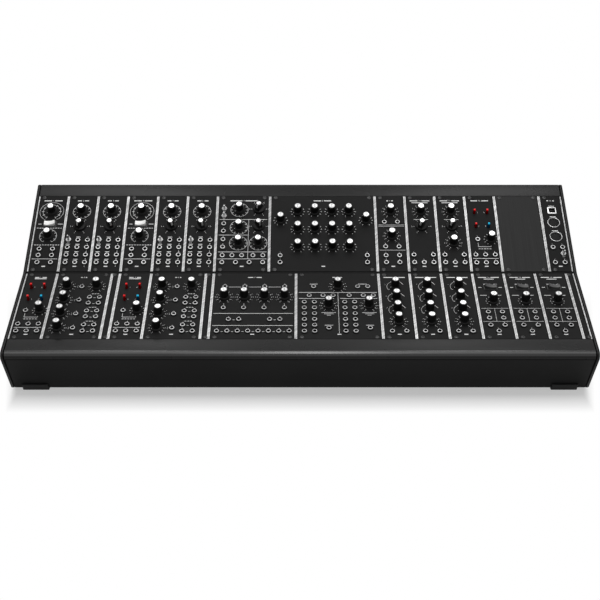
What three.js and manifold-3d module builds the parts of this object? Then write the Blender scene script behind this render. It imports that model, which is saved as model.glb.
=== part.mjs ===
// A modular synthesizer: two sloping rows of rack modules in a desktop case of folded sheet.
// Millimetres, +Z up, the player's side towards -Y, the origin on the table under the middle of the case.
import * as THREE from "three";
import { mergeVertices } from "three/addons/utils/BufferGeometryUtils.js";
import Module from "manifold-3d";

const wasm = await Module();
wasm.setup();

// The rack grid that every module follows
const pitch = 5.08;
const rackUnits = 140;
const panelHeight = 128.5;
const panelThickness = 2;
const panelSideGap = 0.2;

// Slopes of the rows, in degrees from level
const lowerSlope = 15;
const upperSlope = 30;

// Air left between pieces that sit on each other, and round pieces that turn
const seatGap = 0.3;
const turningGap = 0.35;
const overrun = 1;
const mergeTolerance = 0.0001;

// The case: lips, walls and cheeks
const frontLip = 26.6;
const rearLip = 22.6;
const rowGap = 3.2;
const lipThickness = 2.5;
const noseRadius = 7;
const crestRadius = 3.5;
const chinDrop = 8;
const chinSetback = 1.5;
const frontFall = 65.5;
const frontInset = 34.4;
const shoulderLength = 58.6;
const shoulderFlange = 9;
const sheetThickness = 1.6;
const cheekThickness = 4.9;

// Rails that carry the ends of the panels
const railWidth = 8.6;
const railDepth = 10;
const railHeel = 4;
const upstandDrop = 0.5;

// Rubber feet at the corners
const footHeight = 3;
const footWidth = 32.3;
const footLength = 30;
const footLip = 8.5;
const footLipThickness = 1.2;
const footSideInset = 10.1;

// Power supply on the floor of the case, with its inlet through the rear wall
const supplyWidth = 150;
const supplyLength = 80;
const supplyHeight = 42;
const supplySideInset = 60;
const supplyWallGap = 12;
const inletRadius = 7.5;
const inletReach = 1.5;
const inletRimWidth = 1.2;
const inletRecess = 0.8;
const inletHeight = 26;

// Bus board that the modules' power leads plug into
const busWidth = 560;
const busLength = 60;
const busThickness = 1.6;
const busPostHeight = 6;
const busPostWidth = 8;
const busFrontGap = 38.8;
const busHeaderWidth = 28;
const busHeaderLength = 9;
const busHeaderHeight = 9;
const busHeadersPerRow = 8;

// What every module carries behind its panel
const boardThickness = 1.6;
const boardDepth = 10;
const boardSideInset = 1.5;
const boardEndGap = 0.8;
const headerWidth = 9;
const headerLength = 28;
const headerHeight = 8;
const jackBodyWidth = 9;
const jackBodyShare = 0.065;
const jackBodyLength = jackBodyShare * panelHeight;
const potWidth = 9.6;

// Jack sockets
const jackBoreRadius = 1.9;
const jackBoreDepth = 9;
const jackSides = 6;

// Knobs on potentiometer shafts
const shaftRadius = 3;
const shaftDepth = 7;
const knobLift = 0.5;
const skirtRadius = 7;
const skirtHeight = 2.4;
const knobBodyRadius = 5.8;
const knobHeight = 13.2;
const knobSides = 8;

// Pointer selectors on rotary switches
const selectorRadius = 8;
const selectorSkirtHeight = 3;
const selectorBarWidth = 6.6;
const selectorBarTopLength = 7.2;
const selectorBarHeight = 12;
const selectorCapRadius = 3.25;
const selectorHeight = 13.4;

// Miniature bat toggles
const toggleNutRadius = 3.3;
const toggleNutHeight = 1.6;
const toggleRadius = 1.1;
const toggleTipRadius = 1.5;
const toggleLength = 8;
const togglePivotDepth = 1;
const toggleSwing = 10;
const toggleSides = 8;

// Flat levers of the voltage modules
const leverWidth = 3.1;
const leverThickness = 3;
const leverHeight = 7;
const leverFoot = 1.4;
const leverPivotDepth = 2.4;
const leverSwing = 12;
const leverBodyWidth = 7;
const leverBodyLength = 12;

// Rocker switches
const rockerWidth = 14.4;
const rockerLength = 6.6;
const rockerRise = 4.4;
const rockerDip = 2.1;
const rockerShoulder = 1.1;
const rockerFoot = 3;
const rockerFootWidth = 9;
const rockerTilt = 8;
const rockerPocketDepth = 4.4;
const rockerBezel = 1.2;
const rockerBezelHeight = 0.8;

// Ports of the computer interface
const portWidth = 12;
const portLength = 11;
const portReach = 1;
const portMouthWidth = 8.4;
const portMouthLength = 7.8;
const portMouthDepth = 7;
const tongueWidth = 5.6;
const tongueLength = 3.2;
const tongueSetback = 1;
const dinRadius = 8.3;
const dinReach = 1.2;
const dinRimWidth = 0.9;
const dinRecess = 0.7;
const dinSides = 12;

// Finishes, as they look in daylight
const finishes = {
  satinBlack: { color: 0x2c2c2b, roughness: 0.45, metalness: 0.2 },
  lipBlack: { color: 0x353534, roughness: 0.38, metalness: 0.2 },
  panelBlack: { color: 0x262627, roughness: 0.5, metalness: 0.3 },
  knobBlack: { color: 0x111112, roughness: 0.4, metalness: 0 },
  capSilver: { color: 0xe4e4e2, roughness: 0.25, metalness: 1 },
  rubber: { color: 0x1a1a1a, roughness: 0.9, metalness: 0 },
  supplySteel: { color: 0xa8aaac, roughness: 0.4, metalness: 0.9 },
  boardGreen: { color: 0x1d5a35, roughness: 0.6, metalness: 0 },
  leverRed: { color: 0xd6202a, roughness: 0.35, metalness: 0 },
  leverBlue: { color: 0x0a98d6, roughness: 0.35, metalness: 0 },
  rockerWhite: { color: 0xf1f1ee, roughness: 0.4, metalness: 0 },
  rockerBlack: { color: 0x222222, roughness: 0.45, metalness: 0 },
};

// Every place in these tables is across in shares of the pitch from the module's left edge,
// and down in shares of the panel's height from its top edge.
const gridOfShares = (columnShares, rowShares) =>
  rowShares.flatMap((row) => columnShares.map((column) => [column, row]));

const threeColumnShares = [1.5, 4, 6.5];
const pairColumnShares = [2.27, 5.73];
const upperFootShare = 0.888;
const lowerFootShare = 0.894;
const voltageFootShare = 0.891;

const driverShares = {
  knobs: [[4, 0.213], [4, 0.54]],
  rockers: [[4, 0.381]],
  jacks: gridOfShares(pairColumnShares, [0.715, 0.797, upperFootShare]),
};
const oscillatorShares = {
  knobs: [[4, 0.213]],
  selectors: [[4, 0.411]],
  toggles: [[1.5, 0.589]],
  jacks: [
    ...gridOfShares([4, 6.5], [0.598]),
    ...gridOfShares(threeColumnShares, [0.693, 0.791, upperFootShare]),
  ],
};
const modulationShares = {
  knobs: [[5.9, 0.189], [5.9, 0.425], [5.9, 0.633], [11.1, 0.633]],
  selectors: [[11.1, 0.177], [11.1, 0.411]],
  toggles: [[1.87, 0.171], [1.87, 0.268]],
  jacks: [
    ...gridOfShares([1.87], [0.38, 0.48, 0.589, 0.688]),
    ...gridOfShares([1.87, 4.39, 6.89, 9.84, 12.38], [0.799]),
    ...gridOfShares([1.87, 5.39, 8.88, 12.38], [upperFootShare]),
  ],
};
const filterBankShares = {
  knobs: [
    ...gridOfShares([7.4, 11.9, 16.4, 20.9], [0.213, 0.45, 0.684]),
    ...gridOfShares([2.87, 25.4], [0.33]),
  ],
  jacks: gridOfShares([2.87, 25.4], [0.799, upperFootShare]),
};
const lowFilterShares = {
  knobs: [[4, 0.213], [4, 0.54]],
  jacks: gridOfShares(pairColumnShares, [0.358, 0.684, 0.799, upperFootShare]),
};
const shortFilterShares = {
  knobs: [[4, 0.213]],
  selectors: [[4, 0.411]],
  jacks: [...gridOfShares([1.5, 6.5], [0.791]), ...gridOfShares(threeColumnShares, [upperFootShare])],
};
const longFilterShares = {
  ...shortFilterShares,
  knobs: [[4, 0.213], [4, 0.633]],
};
const voltageShares = {
  knobs: [[5.89, 0.582]],
  levers: gridOfShares([2.32, 5.67], [0.227, 0.412]),
  jacks: [[2.46, 0.588], ...gridOfShares(threeColumnShares, [0.79, voltageFootShare])],
};
const interfaceShares = {
  toggles: [[4.25, 0.77]],
  ports: [[3, 0.2]],
  dins: [[3, 0.364], [3, 0.551]],
  jacks: gridOfShares([1.75, 4.25], [0.692, upperFootShare]),
};
const mixerShares = {
  knobs: [...gridOfShares([3.25], [0.212, 0.423, 0.632, 0.842]), [10.73, 0.212]],
  jacks: [
    ...gridOfShares([7], [0.218, 0.429, 0.638, 0.848]),
    ...gridOfShares([9.5, 12], [0.386, 0.476, 0.595, 0.682, 0.803, lowerFootShare]),
  ],
};
const attenuatorShares = {
  knobs: gridOfShares([3.08, 8.09, 13.12, 18.13], [0.376]),
  jacks: [
    ...gridOfShares([3.08, 8.09, 13.12, 18.13], [0.218, 0.547]),
    ...gridOfShares([4.53, 7.05, 14.57, 17.09], [0.722]),
    ...gridOfShares([1.87, 4.37, 6.87, 9.37, 11.87, 14.37, 16.87, 19.37], [lowerFootShare]),
  ],
};
const routerShares = {
  knobs: [[10.5, 0.212], [8.07, 0.509], [18.07, 0.509]],
  jacks: [
    ...gridOfShares([4.43, 15.53, 18.07], [0.218]),
    ...gridOfShares([3.3, 6.76, 9.26, 13.27, 16.8, 19.3], [0.359]),
    ...gridOfShares([2.06, 4.56, 12.09, 14.53], [0.46, 0.547, 0.635, 0.722, 0.807, lowerFootShare]),
    ...gridOfShares([8.01, 18], [0.848]),
  ],
};
const envelopeShares = {
  knobs: gridOfShares([4], [0.212, 0.398, 0.577, 0.748]),
  jacks: gridOfShares(pairColumnShares, [lowerFootShare]),
};
const amplifierShares = {
  rockers: [[4, 0.224]],
  knobs: [[4, 0.437]],
  jacks: [...gridOfShares(pairColumnShares, [0.61, 0.703, 0.807]), [4, lowerFootShare]],
};
const blankShares = {};

// The rows from left to right. A control listed as loose is a piece of its own, and turns or tilts.
const upperRow = [
  ["driver_1", 8, driverShares, [["knobs", 0, "knob"], ["rockers", 0, "rocker"]]],
  [
    "oscillator_1",
    8,
    oscillatorShares,
    [["knobs", 0, "knob"], ["selectors", 0, "selector"], ["toggles", 0, "toggle"]],
  ],
  ["oscillator_2", 8, oscillatorShares, []],
  ["driver_2", 8, driverShares, []],
  ["oscillator_3", 8, oscillatorShares, []],
  ["oscillator_4", 8, oscillatorShares, []],
  ["modulation", 14, modulationShares, [["knobs", 1, "knob"], ["selectors", 0, "selector"]]],
  ["filter_bank", 28, filterBankShares, [["knobs", 0, "knob"]]],
  ["filter_1", 8, lowFilterShares, [["knobs", 0, "knob"]]],
  ["filter_2", 8, shortFilterShares, [["selectors", 0, "selector"]]],
  ["filter_3", 8, longFilterShares, [["knobs", 1, "knob"]]],
  ["voltage_1", 8, voltageShares, [["levers", 0, "red_lever"], ["levers", 3, "blue_lever"]]],
  ["blank_wide", 12, blankShares, []],
  ["interface", 6, interfaceShares, []],
];
const lowerRow = [
  ["voltage_2", 8, voltageShares, []],
  ["mixer_1", 14, mixerShares, [["knobs", 4, "knob"]]],
  ["blank_narrow_1", 2, blankShares, []],
  ["voltage_3", 8, voltageShares, []],
  ["mixer_2", 14, mixerShares, []],
  ["blank_narrow_2", 2, blankShares, []],
  ["attenuator", 21, attenuatorShares, [["knobs", 0, "knob"]]],
  ["router", 21, routerShares, [["knobs", 0, "knob"]]],
  ["envelope_1", 8, envelopeShares, [["knobs", 0, "knob"]]],
  ["envelope_2", 8, envelopeShares, []],
  ["envelope_3", 8, envelopeShares, []],
  ["amplifier_1", 8, amplifierShares, [["rockers", 0, "rocker"], ["knobs", 0, "knob"]]],
  ["amplifier_2", 8, amplifierShares, []],
  ["amplifier_3", 8, amplifierShares, []],
  ["blank_narrow_3", 2, blankShares, []],
];
const blueLeverIndex = 3;

// Turning geometry into solids and solids into meshes

function solidOf(geometry) {
  geometry.deleteAttribute("normal");
  geometry.deleteAttribute("uv");
  const merged = mergeVertices(geometry, mergeTolerance);
  const corners = merged.index.array;
  const kept = [];
  for (let i = 0; i < corners.length; i += 3) {
    const [a, b, c] = corners.slice(i, i + 3);
    if (a !== b && b !== c && c !== a) kept.push(a, b, c);
  }
  return new wasm.Manifold(
    new wasm.Mesh({
      numProp: 3,
      vertProperties: merged.attributes.position.array,
      triVerts: new Uint32Array(kept),
    }),
  );
}

function meshOf(name, solid, finish) {
  const data = solid.getMesh();
  const geometry = new THREE.BufferGeometry();
  geometry.setAttribute("position", new THREE.BufferAttribute(new Float32Array(data.vertProperties), 3));
  geometry.setIndex(new THREE.BufferAttribute(new Uint32Array(data.triVerts), 1));
  const material = new THREE.MeshStandardMaterial({ ...finishes[finish], flatShading: true });
  const mesh = new THREE.Mesh(geometry, material);
  mesh.name = name;
  return mesh;
}

// A box between two corners
function block([x0, y0, z0], [x1, y1, z1]) {
  const geometry = new THREE.BoxGeometry(x1 - x0, y1 - y0, z1 - z0);
  return solidOf(geometry.translate((x0 + x1) / 2, (y0 + y1) / 2, (z0 + z1) / 2));
}

// A box centred on a place, between two heights
function pad(x, y, width, length, low, high) {
  return block([x - width / 2, y - length / 2, low], [x + width / 2, y + length / 2, high]);
}

// A piece turned about an upright axis, from its outline of radius and height, bottom to top
function turned(outline, sides, x, y) {
  const points = outline.map(([radius, height]) => new THREE.Vector2(radius, height));
  const geometry = new THREE.LatheGeometry(points, sides);
  return solidOf(geometry.rotateX(Math.PI / 2).translate(x, y, 0));
}

function disc(radius, low, high, sides, x, y) {
  return turned([[0, low], [radius, low], [radius, high], [0, high]], sides, x, y);
}

// The corner radius of a many-sided hole that clears a round shaft
const clearOf = (radius, sides) => (radius + turningGap) / Math.cos(Math.PI / sides);

// An outline in depth and height, drawn out across the case between two places
function across(outline, left, right) {
  const shape = new THREE.Shape(outline.map((point) => point.clone()));
  const geometry = new THREE.ExtrudeGeometry(shape, { depth: right - left, bevelEnabled: false });
  return solidOf(geometry.rotateX(Math.PI / 2).rotateZ(Math.PI / 2).translate(left, 0, 0));
}

// The side view of the case, in depth behind its nose and height above it

const radians = THREE.MathUtils.degToRad;

// A point by its distance along a slope and its height square to it
function onSlope(start, slope, along, above) {
  const turn = radians(slope);
  return new THREE.Vector2(
    start.x + along * Math.cos(turn) - above * Math.sin(turn),
    start.y + along * Math.sin(turn) + above * Math.cos(turn),
  );
}

const nose = new THREE.Vector2(0, 0);
const lowerFront = onSlope(nose, lowerSlope, frontLip, 0);
const lowerRear = onSlope(lowerFront, lowerSlope, panelHeight, 0);
const upperFront = onSlope(lowerRear, upperSlope, rowGap, 0);
const upperRear = onSlope(upperFront, upperSlope, panelHeight, 0);
const crest = onSlope(upperRear, upperSlope, rearLip, 0);
const shoulder = onSlope(crest, upperSlope, 0, -shoulderLength);
const chin = new THREE.Vector2(chinSetback, -chinDrop);
const frontHeel = new THREE.Vector2(frontInset, -frontFall);
const rearHeel = new THREE.Vector2(shoulder.x, -frontFall);
const caseDepth = shoulder.x;
const rackWidth = rackUnits * pitch;
const innerHalf = rackWidth / 2 - seatGap;

// A corner rounded with the given radius, as points from one side to the other
function rounded(before, corner, after, radius, steps) {
  const back = before.clone().sub(corner).normalize();
  const ahead = after.clone().sub(corner).normalize();
  const half = Math.acos(back.dot(ahead)) / 2;
  const middle = corner.clone().addScaledVector(back.clone().add(ahead).normalize(), radius / Math.sin(half));
  const start = corner.clone().addScaledVector(back, radius / Math.tan(half)).sub(middle);
  const sweep = Math.sign(ahead.cross(back)) * (Math.PI - 2 * half);
  const points = [];
  for (let i = 0; i <= steps; i += 1) {
    points.push(start.clone().rotateAround(new THREE.Vector2(0, 0), (sweep * i) / steps).add(middle));
  }
  return points;
}
const cornerSteps = 3;

// The same open line moved sideways by a distance, with square mitres
function offsetLine(points, distance) {
  const normals = points.slice(1).map((point, i) => {
    const along = point.clone().sub(points[i]).normalize();
    return new THREE.Vector2(-along.y, along.x);
  });
  return points.map((point, i) => {
    const before = normals[Math.max(i - 1, 0)];
    const after = normals[Math.min(i, normals.length - 1)];
    const mitre = before.clone().add(after).normalize();
    return point.clone().addScaledVector(mitre, distance / mitre.dot(after));
  });
}

const rearReach = Math.max(inletReach, seatGap + footLipThickness);
const chassis = new THREE.Group();
chassis.position.set(0, -(caseDepth + rearReach) / 2, footHeight + frontFall);

// Case pieces

function makeTub() {
  const fall = frontHeel.clone().sub(chin).normalize();
  const outer = [
    chin.clone().addScaledVector(fall, -seatGap / fall.y),
    frontHeel,
    rearHeel,
    shoulder,
    onSlope(crest, upperSlope, 0, -shoulderFlange - seatGap),
  ];
  const inner = offsetLine(outer, sheetThickness);
  inner[0].set(outer[0].x - sheetThickness / fall.y, outer[0].y);
  const sheet = across([...outer, ...inner.reverse()], -innerHalf, innerHalf);
  const holeRadius = clearOf(inletRadius, dinSides);
  const hole = disc(holeRadius, -sheetThickness - overrun, overrun, dinSides, 0, 0);
  return sheet.subtract(hole.rotate([-90, 0, 0]).translate([inletX, rearHeel.x, inletZ]));
}

const inletX = -rackWidth / 2 + supplySideInset + supplyWidth / 2;
const inletZ = -frontFall + sheetThickness + seatGap + inletHeight;

function makeFrontRail() {
  const onLower = (along, above) => onSlope(lowerFront, lowerSlope, along, above);
  const seat = -panelThickness - seatGap;
  const noseFoot = new THREE.Vector2(0, -chinDrop);
  return across(
    [
      ...rounded(noseFoot, nose, lowerFront, noseRadius, cornerSteps),
      onLower(-seatGap, 0),
      onLower(-seatGap, seat),
      onLower(railWidth, seat),
      onLower(railWidth, seat - railDepth),
      onLower(-railHeel, seat - railDepth),
      onLower(-railHeel, -lipThickness),
      onSlope(nose, lowerSlope, lipThickness + noseRadius, -lipThickness),
      new THREE.Vector2(lipThickness, -chinDrop),
      noseFoot,
    ],
    -innerHalf,
    innerHalf,
  );
}

function makeMiddleRail() {
  const onLower = (along, above) => onSlope(lowerRear, lowerSlope, along, above);
  const onUpper = (along, above) => onSlope(upperFront, upperSlope, along, above);
  const seat = -panelThickness - seatGap;
  return across(
    [
      onLower(-railWidth, seat),
      onLower(seatGap, seat),
      onLower(seatGap, -upstandDrop),
      onUpper(-seatGap, -upstandDrop),
      onUpper(-seatGap, seat),
      onUpper(railWidth, seat),
      onUpper(railWidth, seat - railDepth),
      onLower(-railWidth, seat - railDepth),
    ],
    -innerHalf,
    innerHalf,
  );
}

function makeRearRail() {
  const onUpper = (along, above) => onSlope(upperRear, upperSlope, along, above);
  const seat = -panelThickness - seatGap;
  const backFoot = onUpper(rearLip, -shoulderFlange);
  return across(
    [
      onUpper(seatGap, seat),
      onUpper(seatGap, 0),
      ...rounded(upperRear, crest, backFoot, crestRadius, cornerSteps),
      backFoot,
      onUpper(rearLip - lipThickness, -shoulderFlange),
      onUpper(rearLip - lipThickness, -lipThickness - crestRadius),
      onUpper(rearLip - lipThickness - crestRadius, -lipThickness),
      onUpper(railHeel, -lipThickness),
      onUpper(railHeel, seat - railDepth),
      onUpper(-railWidth, seat - railDepth),
      onUpper(-railWidth, seat),
    ],
    -innerHalf,
    innerHalf,
  );
}

function makeCheek(left) {
  const noseFoot = new THREE.Vector2(0, -chinDrop);
  return across(
    [
      ...rounded(noseFoot, nose, lowerRear, noseRadius, cornerSteps),
      lowerRear,
      ...rounded(lowerRear, crest, shoulder, crestRadius, cornerSteps),
      shoulder,
      rearHeel,
      frontHeel,
      noseFoot,
    ],
    left,
    left + cheekThickness,
  );
}

// A corner foot: a pad under the floor with a lip up the wall
function makeFoot(wallTop, heel, inward) {
  const up = wallTop.clone().sub(heel).normalize();
  const out = new THREE.Vector2(-up.y, up.x).multiplyScalar(inward);
  const wallFace = (rise, reach) => heel.clone().addScaledVector(up, rise).addScaledVector(out, reach);
  const under = heel.y - seatGap;
  const innerEdge = heel.x + inward * footLength;
  const outerEdge = wallFace(0, seatGap + footLipThickness).x;
  return across(
    [
      wallFace(footLip, seatGap),
      wallFace(footLip, seatGap + footLipThickness),
      wallFace(0, seatGap + footLipThickness),
      new THREE.Vector2(outerEdge + inward * footLipThickness, heel.y - footHeight),
      new THREE.Vector2(innerEdge, heel.y - footHeight),
      new THREE.Vector2(innerEdge, under),
      new THREE.Vector2(wallFace(0, seatGap).x, under),
    ],
    -footWidth / 2,
    footWidth / 2,
  );
}

function makeSupply() {
  const low = -frontFall + sheetThickness + seatGap;
  const rear = rearHeel.x - sheetThickness - supplyWallGap;
  const left = inletX - supplyWidth / 2;
  const box = block([left, rear - supplyLength, low], [left + supplyWidth, rear, low + supplyHeight]);
  const reach = rearHeel.x + inletReach;
  const inlet = turned(
    [
      [0, rear - overrun],
      [inletRadius, rear - overrun],
      [inletRadius, reach],
      [inletRadius - inletRimWidth, reach],
      [inletRadius - inletRimWidth, reach - inletRecess],
      [0, reach - inletRecess],
    ],
    dinSides,
    0,
    0,
  );
  return box.add(inlet.rotate([-90, 0, 0]).translate([inletX, 0, inletZ]));
}

function makeBusBoard() {
  const floor = -frontFall + sheetThickness + seatGap;
  const front = frontHeel.x + busFrontGap;
  const boardLow = floor + busPostHeight;
  const boardTop = boardLow + busThickness;
  const middle = front + busLength / 2;
  let board = pad(0, middle, busWidth, busLength, boardLow, boardTop);
  for (const side of [-1, 1]) {
    for (const end of [-1, 1]) {
      const x = (side * (busWidth - busPostWidth)) / 2;
      const y = middle + (end * (busLength - busPostWidth)) / 2;
      board = board.add(pad(x, y, busPostWidth, busPostWidth, floor, boardTop));
    }
  }
  const step = busWidth / busHeadersPerRow;
  for (let i = 0; i < busHeadersPerRow; i += 1) {
    const x = -busWidth / 2 + step * (i + 1 / 2);
    for (const end of [-1, 1]) {
      const y = middle + (end * busLength) / 4;
      board = board.add(pad(x, y, busHeaderWidth, busHeaderLength, boardLow, boardTop + busHeaderHeight));
    }
  }
  return board;
}

// Controls, each made about the place where its axis meets the panel's face

const knobSideOutline = [
  [skirtRadius, skirtHeight],
  [knobBodyRadius, skirtHeight],
  [knobBodyRadius, knobHeight],
  [0, knobHeight],
];
const looseFootOutline = (radius) => [
  [0, -shaftDepth],
  [shaftRadius, -shaftDepth],
  [shaftRadius, knobLift],
  [radius, knobLift],
];
const fixedFootOutline = (radius) => [[0, -panelThickness / 2], [radius, -panelThickness / 2]];

function makeKnob() {
  return turned([...looseFootOutline(skirtRadius), ...knobSideOutline], knobSides, 0, 0);
}

function makeFixedKnob(x, y) {
  return turned([...fixedFootOutline(skirtRadius), ...knobSideOutline], knobSides, x, y);
}

function makeSelector(foot, x, y) {
  const outline = [...foot, [selectorRadius, selectorSkirtHeight], [0, selectorSkirtHeight]];
  const skirt = turned(outline, knobSides, x, y);
  const reach = Math.sqrt(selectorRadius ** 2 - (selectorBarWidth / 2) ** 2) - seatGap;
  const bar = across(
    [
      new THREE.Vector2(-reach, selectorSkirtHeight - seatGap),
      new THREE.Vector2(reach, selectorSkirtHeight - seatGap),
      new THREE.Vector2(selectorBarTopLength / 2, selectorBarHeight),
      new THREE.Vector2(-selectorBarTopLength / 2, selectorBarHeight),
    ],
    -selectorBarWidth / 2,
    selectorBarWidth / 2,
  );
  const cap = disc(selectorCapRadius, selectorBarHeight - seatGap, selectorHeight, knobSides, x, y);
  return skirt.add(bar.translate([x, y, 0])).add(cap);
}

function makeToggle() {
  const bat = togglePivotDepth + toggleNutHeight + toggleLength;
  return turned(
    [
      [0, -toggleRadius],
      [toggleRadius, -toggleRadius],
      [toggleRadius, togglePivotDepth + toggleNutHeight],
      [toggleTipRadius, bat - toggleTipRadius],
      [toggleRadius, bat],
      [0, bat],
    ],
    toggleSides,
    0,
    0,
  );
}

function makeLever() {
  return pad(0, 0, leverWidth, leverThickness, -leverFoot, leverPivotDepth + leverHeight);
}

// The rocker's outline lies across the module, so it is drawn in width and height
function makeRocker() {
  const half = rockerWidth / 2;
  const outline = [
    [-half, rockerShoulder],
    [-rockerFootWidth / 2, -rockerFoot],
    [rockerFootWidth / 2, -rockerFoot],
    [half, rockerShoulder],
    [half - seatGap, rockerRise],
    [0, rockerDip],
    [-half + seatGap, rockerRise],
  ];
  const shape = new THREE.Shape(outline.map(([x, z]) => new THREE.Vector2(x, z)));
  const geometry = new THREE.ExtrudeGeometry(shape, { depth: rockerLength, bevelEnabled: false });
  return solidOf(geometry.translate(0, 0, -rockerLength / 2).rotateX(Math.PI / 2));
}

// What a control needs in its module: a part that joins the module's solid, and a pocket cut out of it

const behindPanel = -panelThickness - boardDepth;

function potBody(x, y) {
  return pad(x, y, potWidth, potWidth, behindPanel - overrun, -panelThickness / 2);
}

const mountings = {
  knobs: {
    joined: (x, y) => potBody(x, y),
    pocket: (x, y) => {
      const radius = clearOf(shaftRadius, knobSides);
      return disc(radius, -shaftDepth - turningGap, overrun, knobSides, x, y);
    },
    fixed: (x, y) => makeFixedKnob(x, y),
  },
  selectors: {
    joined: (x, y) => potBody(x, y),
    pocket: (x, y) => {
      const radius = clearOf(shaftRadius, knobSides);
      return disc(radius, -shaftDepth - turningGap, overrun, knobSides, x, y);
    },
    fixed: (x, y) => makeSelector(fixedFootOutline(selectorRadius), x, y),
  },
  toggles: {
    joined: (x, y) => {
      return potBody(x, y).add(disc(toggleNutRadius, -panelThickness / 2, toggleNutHeight, jackSides, x, y));
    },
    pocket: (x, y) => {
      const low = -togglePivotDepth - Math.hypot(toggleRadius, toggleRadius) - seatGap;
      const sway = (togglePivotDepth + toggleNutHeight) * Math.tan(radians(toggleSwing));
      return disc(clearOf(toggleRadius + sway, toggleSides), low, toggleNutHeight + overrun, toggleSides, x, y);
    },
    fixed: (x, y) => makeToggle().translate([x, y, -togglePivotDepth]),
  },
  levers: {
    joined: (x, y) => pad(x, y, leverBodyWidth, leverBodyLength, behindPanel - overrun, -panelThickness / 2),
    pocket: (x, y) => {
      const low = -leverPivotDepth - Math.hypot(leverFoot, leverThickness / 2) - seatGap;
      const swing = radians(leverSwing);
      const reach = leverThickness / 2 / Math.cos(swing) + leverPivotDepth * Math.tan(swing) + turningGap;
      return pad(x, y, leverWidth + 2 * turningGap, 2 * reach, low, overrun);
    },
    fixed: (x, y) => pad(x, y, leverWidth, leverThickness, -panelThickness / 2, leverHeight),
  },
  rockers: {
    joined: (x, y) => {
      const width = rockerWidth + 2 * (rockerBezel + turningGap);
      const length = rockerLength + 2 * (rockerBezel + turningGap);
      return pad(x, y, width, length, behindPanel - overrun, rockerBezelHeight);
    },
    pocket: (x, y) => {
      const width = rockerWidth + 2 * (seatGap + turningGap);
      const length = rockerLength + 2 * turningGap;
      return pad(x, y, width, length, -rockerPocketDepth, rockerRise);
    },
    fixed: (x, y) => makeRocker().translate([x, y, 0]),
  },
};

// Where a loose control's axis lies below the panel's face, and which finish it has
const loosePieces = {
  knobs: { make: makeKnob, depth: 0, finish: () => "knobBlack" },
  selectors: {
    make: () => makeSelector(looseFootOutline(selectorRadius), 0, 0),
    depth: 0,
    finish: () => "knobBlack",
  },
  toggles: { make: makeToggle, depth: togglePivotDepth, finish: () => "capSilver" },
  levers: {
    make: makeLever,
    depth: leverPivotDepth,
    finish: (index) => (index === blueLeverIndex ? "leverBlue" : "leverRed"),
  },
  rockers: {
    make: makeRocker,
    depth: 0,
    finish: (index, module) => (module === "driver_1" ? "rockerWhite" : "rockerBlack"),
  },
};

function jackBore(x, y) {
  return disc(jackBoreRadius, -jackBoreDepth, overrun, jackSides, x, y);
}

function makePort(x, y) {
  const shell = pad(x, y, portWidth, portLength, behindPanel - overrun, portReach);
  const mouth = pad(x, y, portMouthWidth, portMouthLength, portReach - portMouthDepth, portReach + overrun);
  const tongue = pad(x, y, tongueWidth, tongueLength, -portMouthDepth, portReach - tongueSetback);
  return { shell, mouth, tongue };
}

function makeDin(x, y) {
  const rim = dinRadius - dinRimWidth;
  return turned(
    [
      [0, behindPanel - overrun],
      [dinRadius, behindPanel - overrun],
      [dinRadius, dinReach],
      [rim, dinReach],
      [rim, dinReach - dinRecess],
      [0, dinReach - dinRecess],
    ],
    dinSides,
    x,
    y,
  );
}

// One module: its panel, its board, what joins the two, and the sockets cut into them
function makeModule(units, places, loose) {
  const width = units * pitch;
  let solid = block([panelSideGap, 0, -panelThickness], [width - panelSideGap, panelHeight, 0]);
  if (!places.jacks) return solid;
  const spot = ([column, row]) => [column * pitch, (1 - row) * panelHeight];
  const end = railWidth + boardEndGap;
  const boardLow = behindPanel - boardThickness;
  const farCorner = [width - boardSideInset, panelHeight - end, behindPanel];
  const board = block([boardSideInset, end, boardLow], farCorner);
  const headerLow = boardLow - headerHeight;
  const header = pad(width / 2, panelHeight / 2, headerWidth, headerLength, headerLow, behindPanel);
  solid = solid.add(board).add(header);
  for (const row of new Set(places.jacks.map(([, down]) => down))) {
    const columns = places.jacks.filter(([, down]) => down === row).map(([column]) => column * pitch);
    const left = Math.min(...columns) - jackBodyWidth / 2;
    const right = Math.max(...columns) + jackBodyWidth / 2;
    const [x, y] = [(left + right) / 2, (1 - row) * panelHeight];
    solid = solid.add(pad(x, y, right - left, jackBodyLength, behindPanel - overrun, -panelThickness / 2));
  }
  const fixed = [];
  for (const [kind, mounting] of Object.entries(mountings)) {
    (places[kind] ?? []).forEach((place, index) => {
      const [x, y] = spot(place);
      const isLoose = loose.some(([looseKind, looseIndex]) => looseKind === kind && looseIndex === index);
      if (isLoose) solid = solid.add(mounting.joined(x, y)).subtract(mounting.pocket(x, y));
      else fixed.push(mounting.fixed(x, y));
    });
  }
  for (const place of places.jacks) solid = solid.subtract(jackBore(...spot(place)));
  for (const place of places.ports ?? []) {
    const port = makePort(...spot(place));
    solid = solid.add(port.shell).subtract(port.mouth).add(port.tongue);
  }
  for (const place of places.dins ?? []) solid = solid.add(makeDin(...spot(place)));
  for (const control of fixed) solid = solid.add(control);
  return solid;
}

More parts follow.
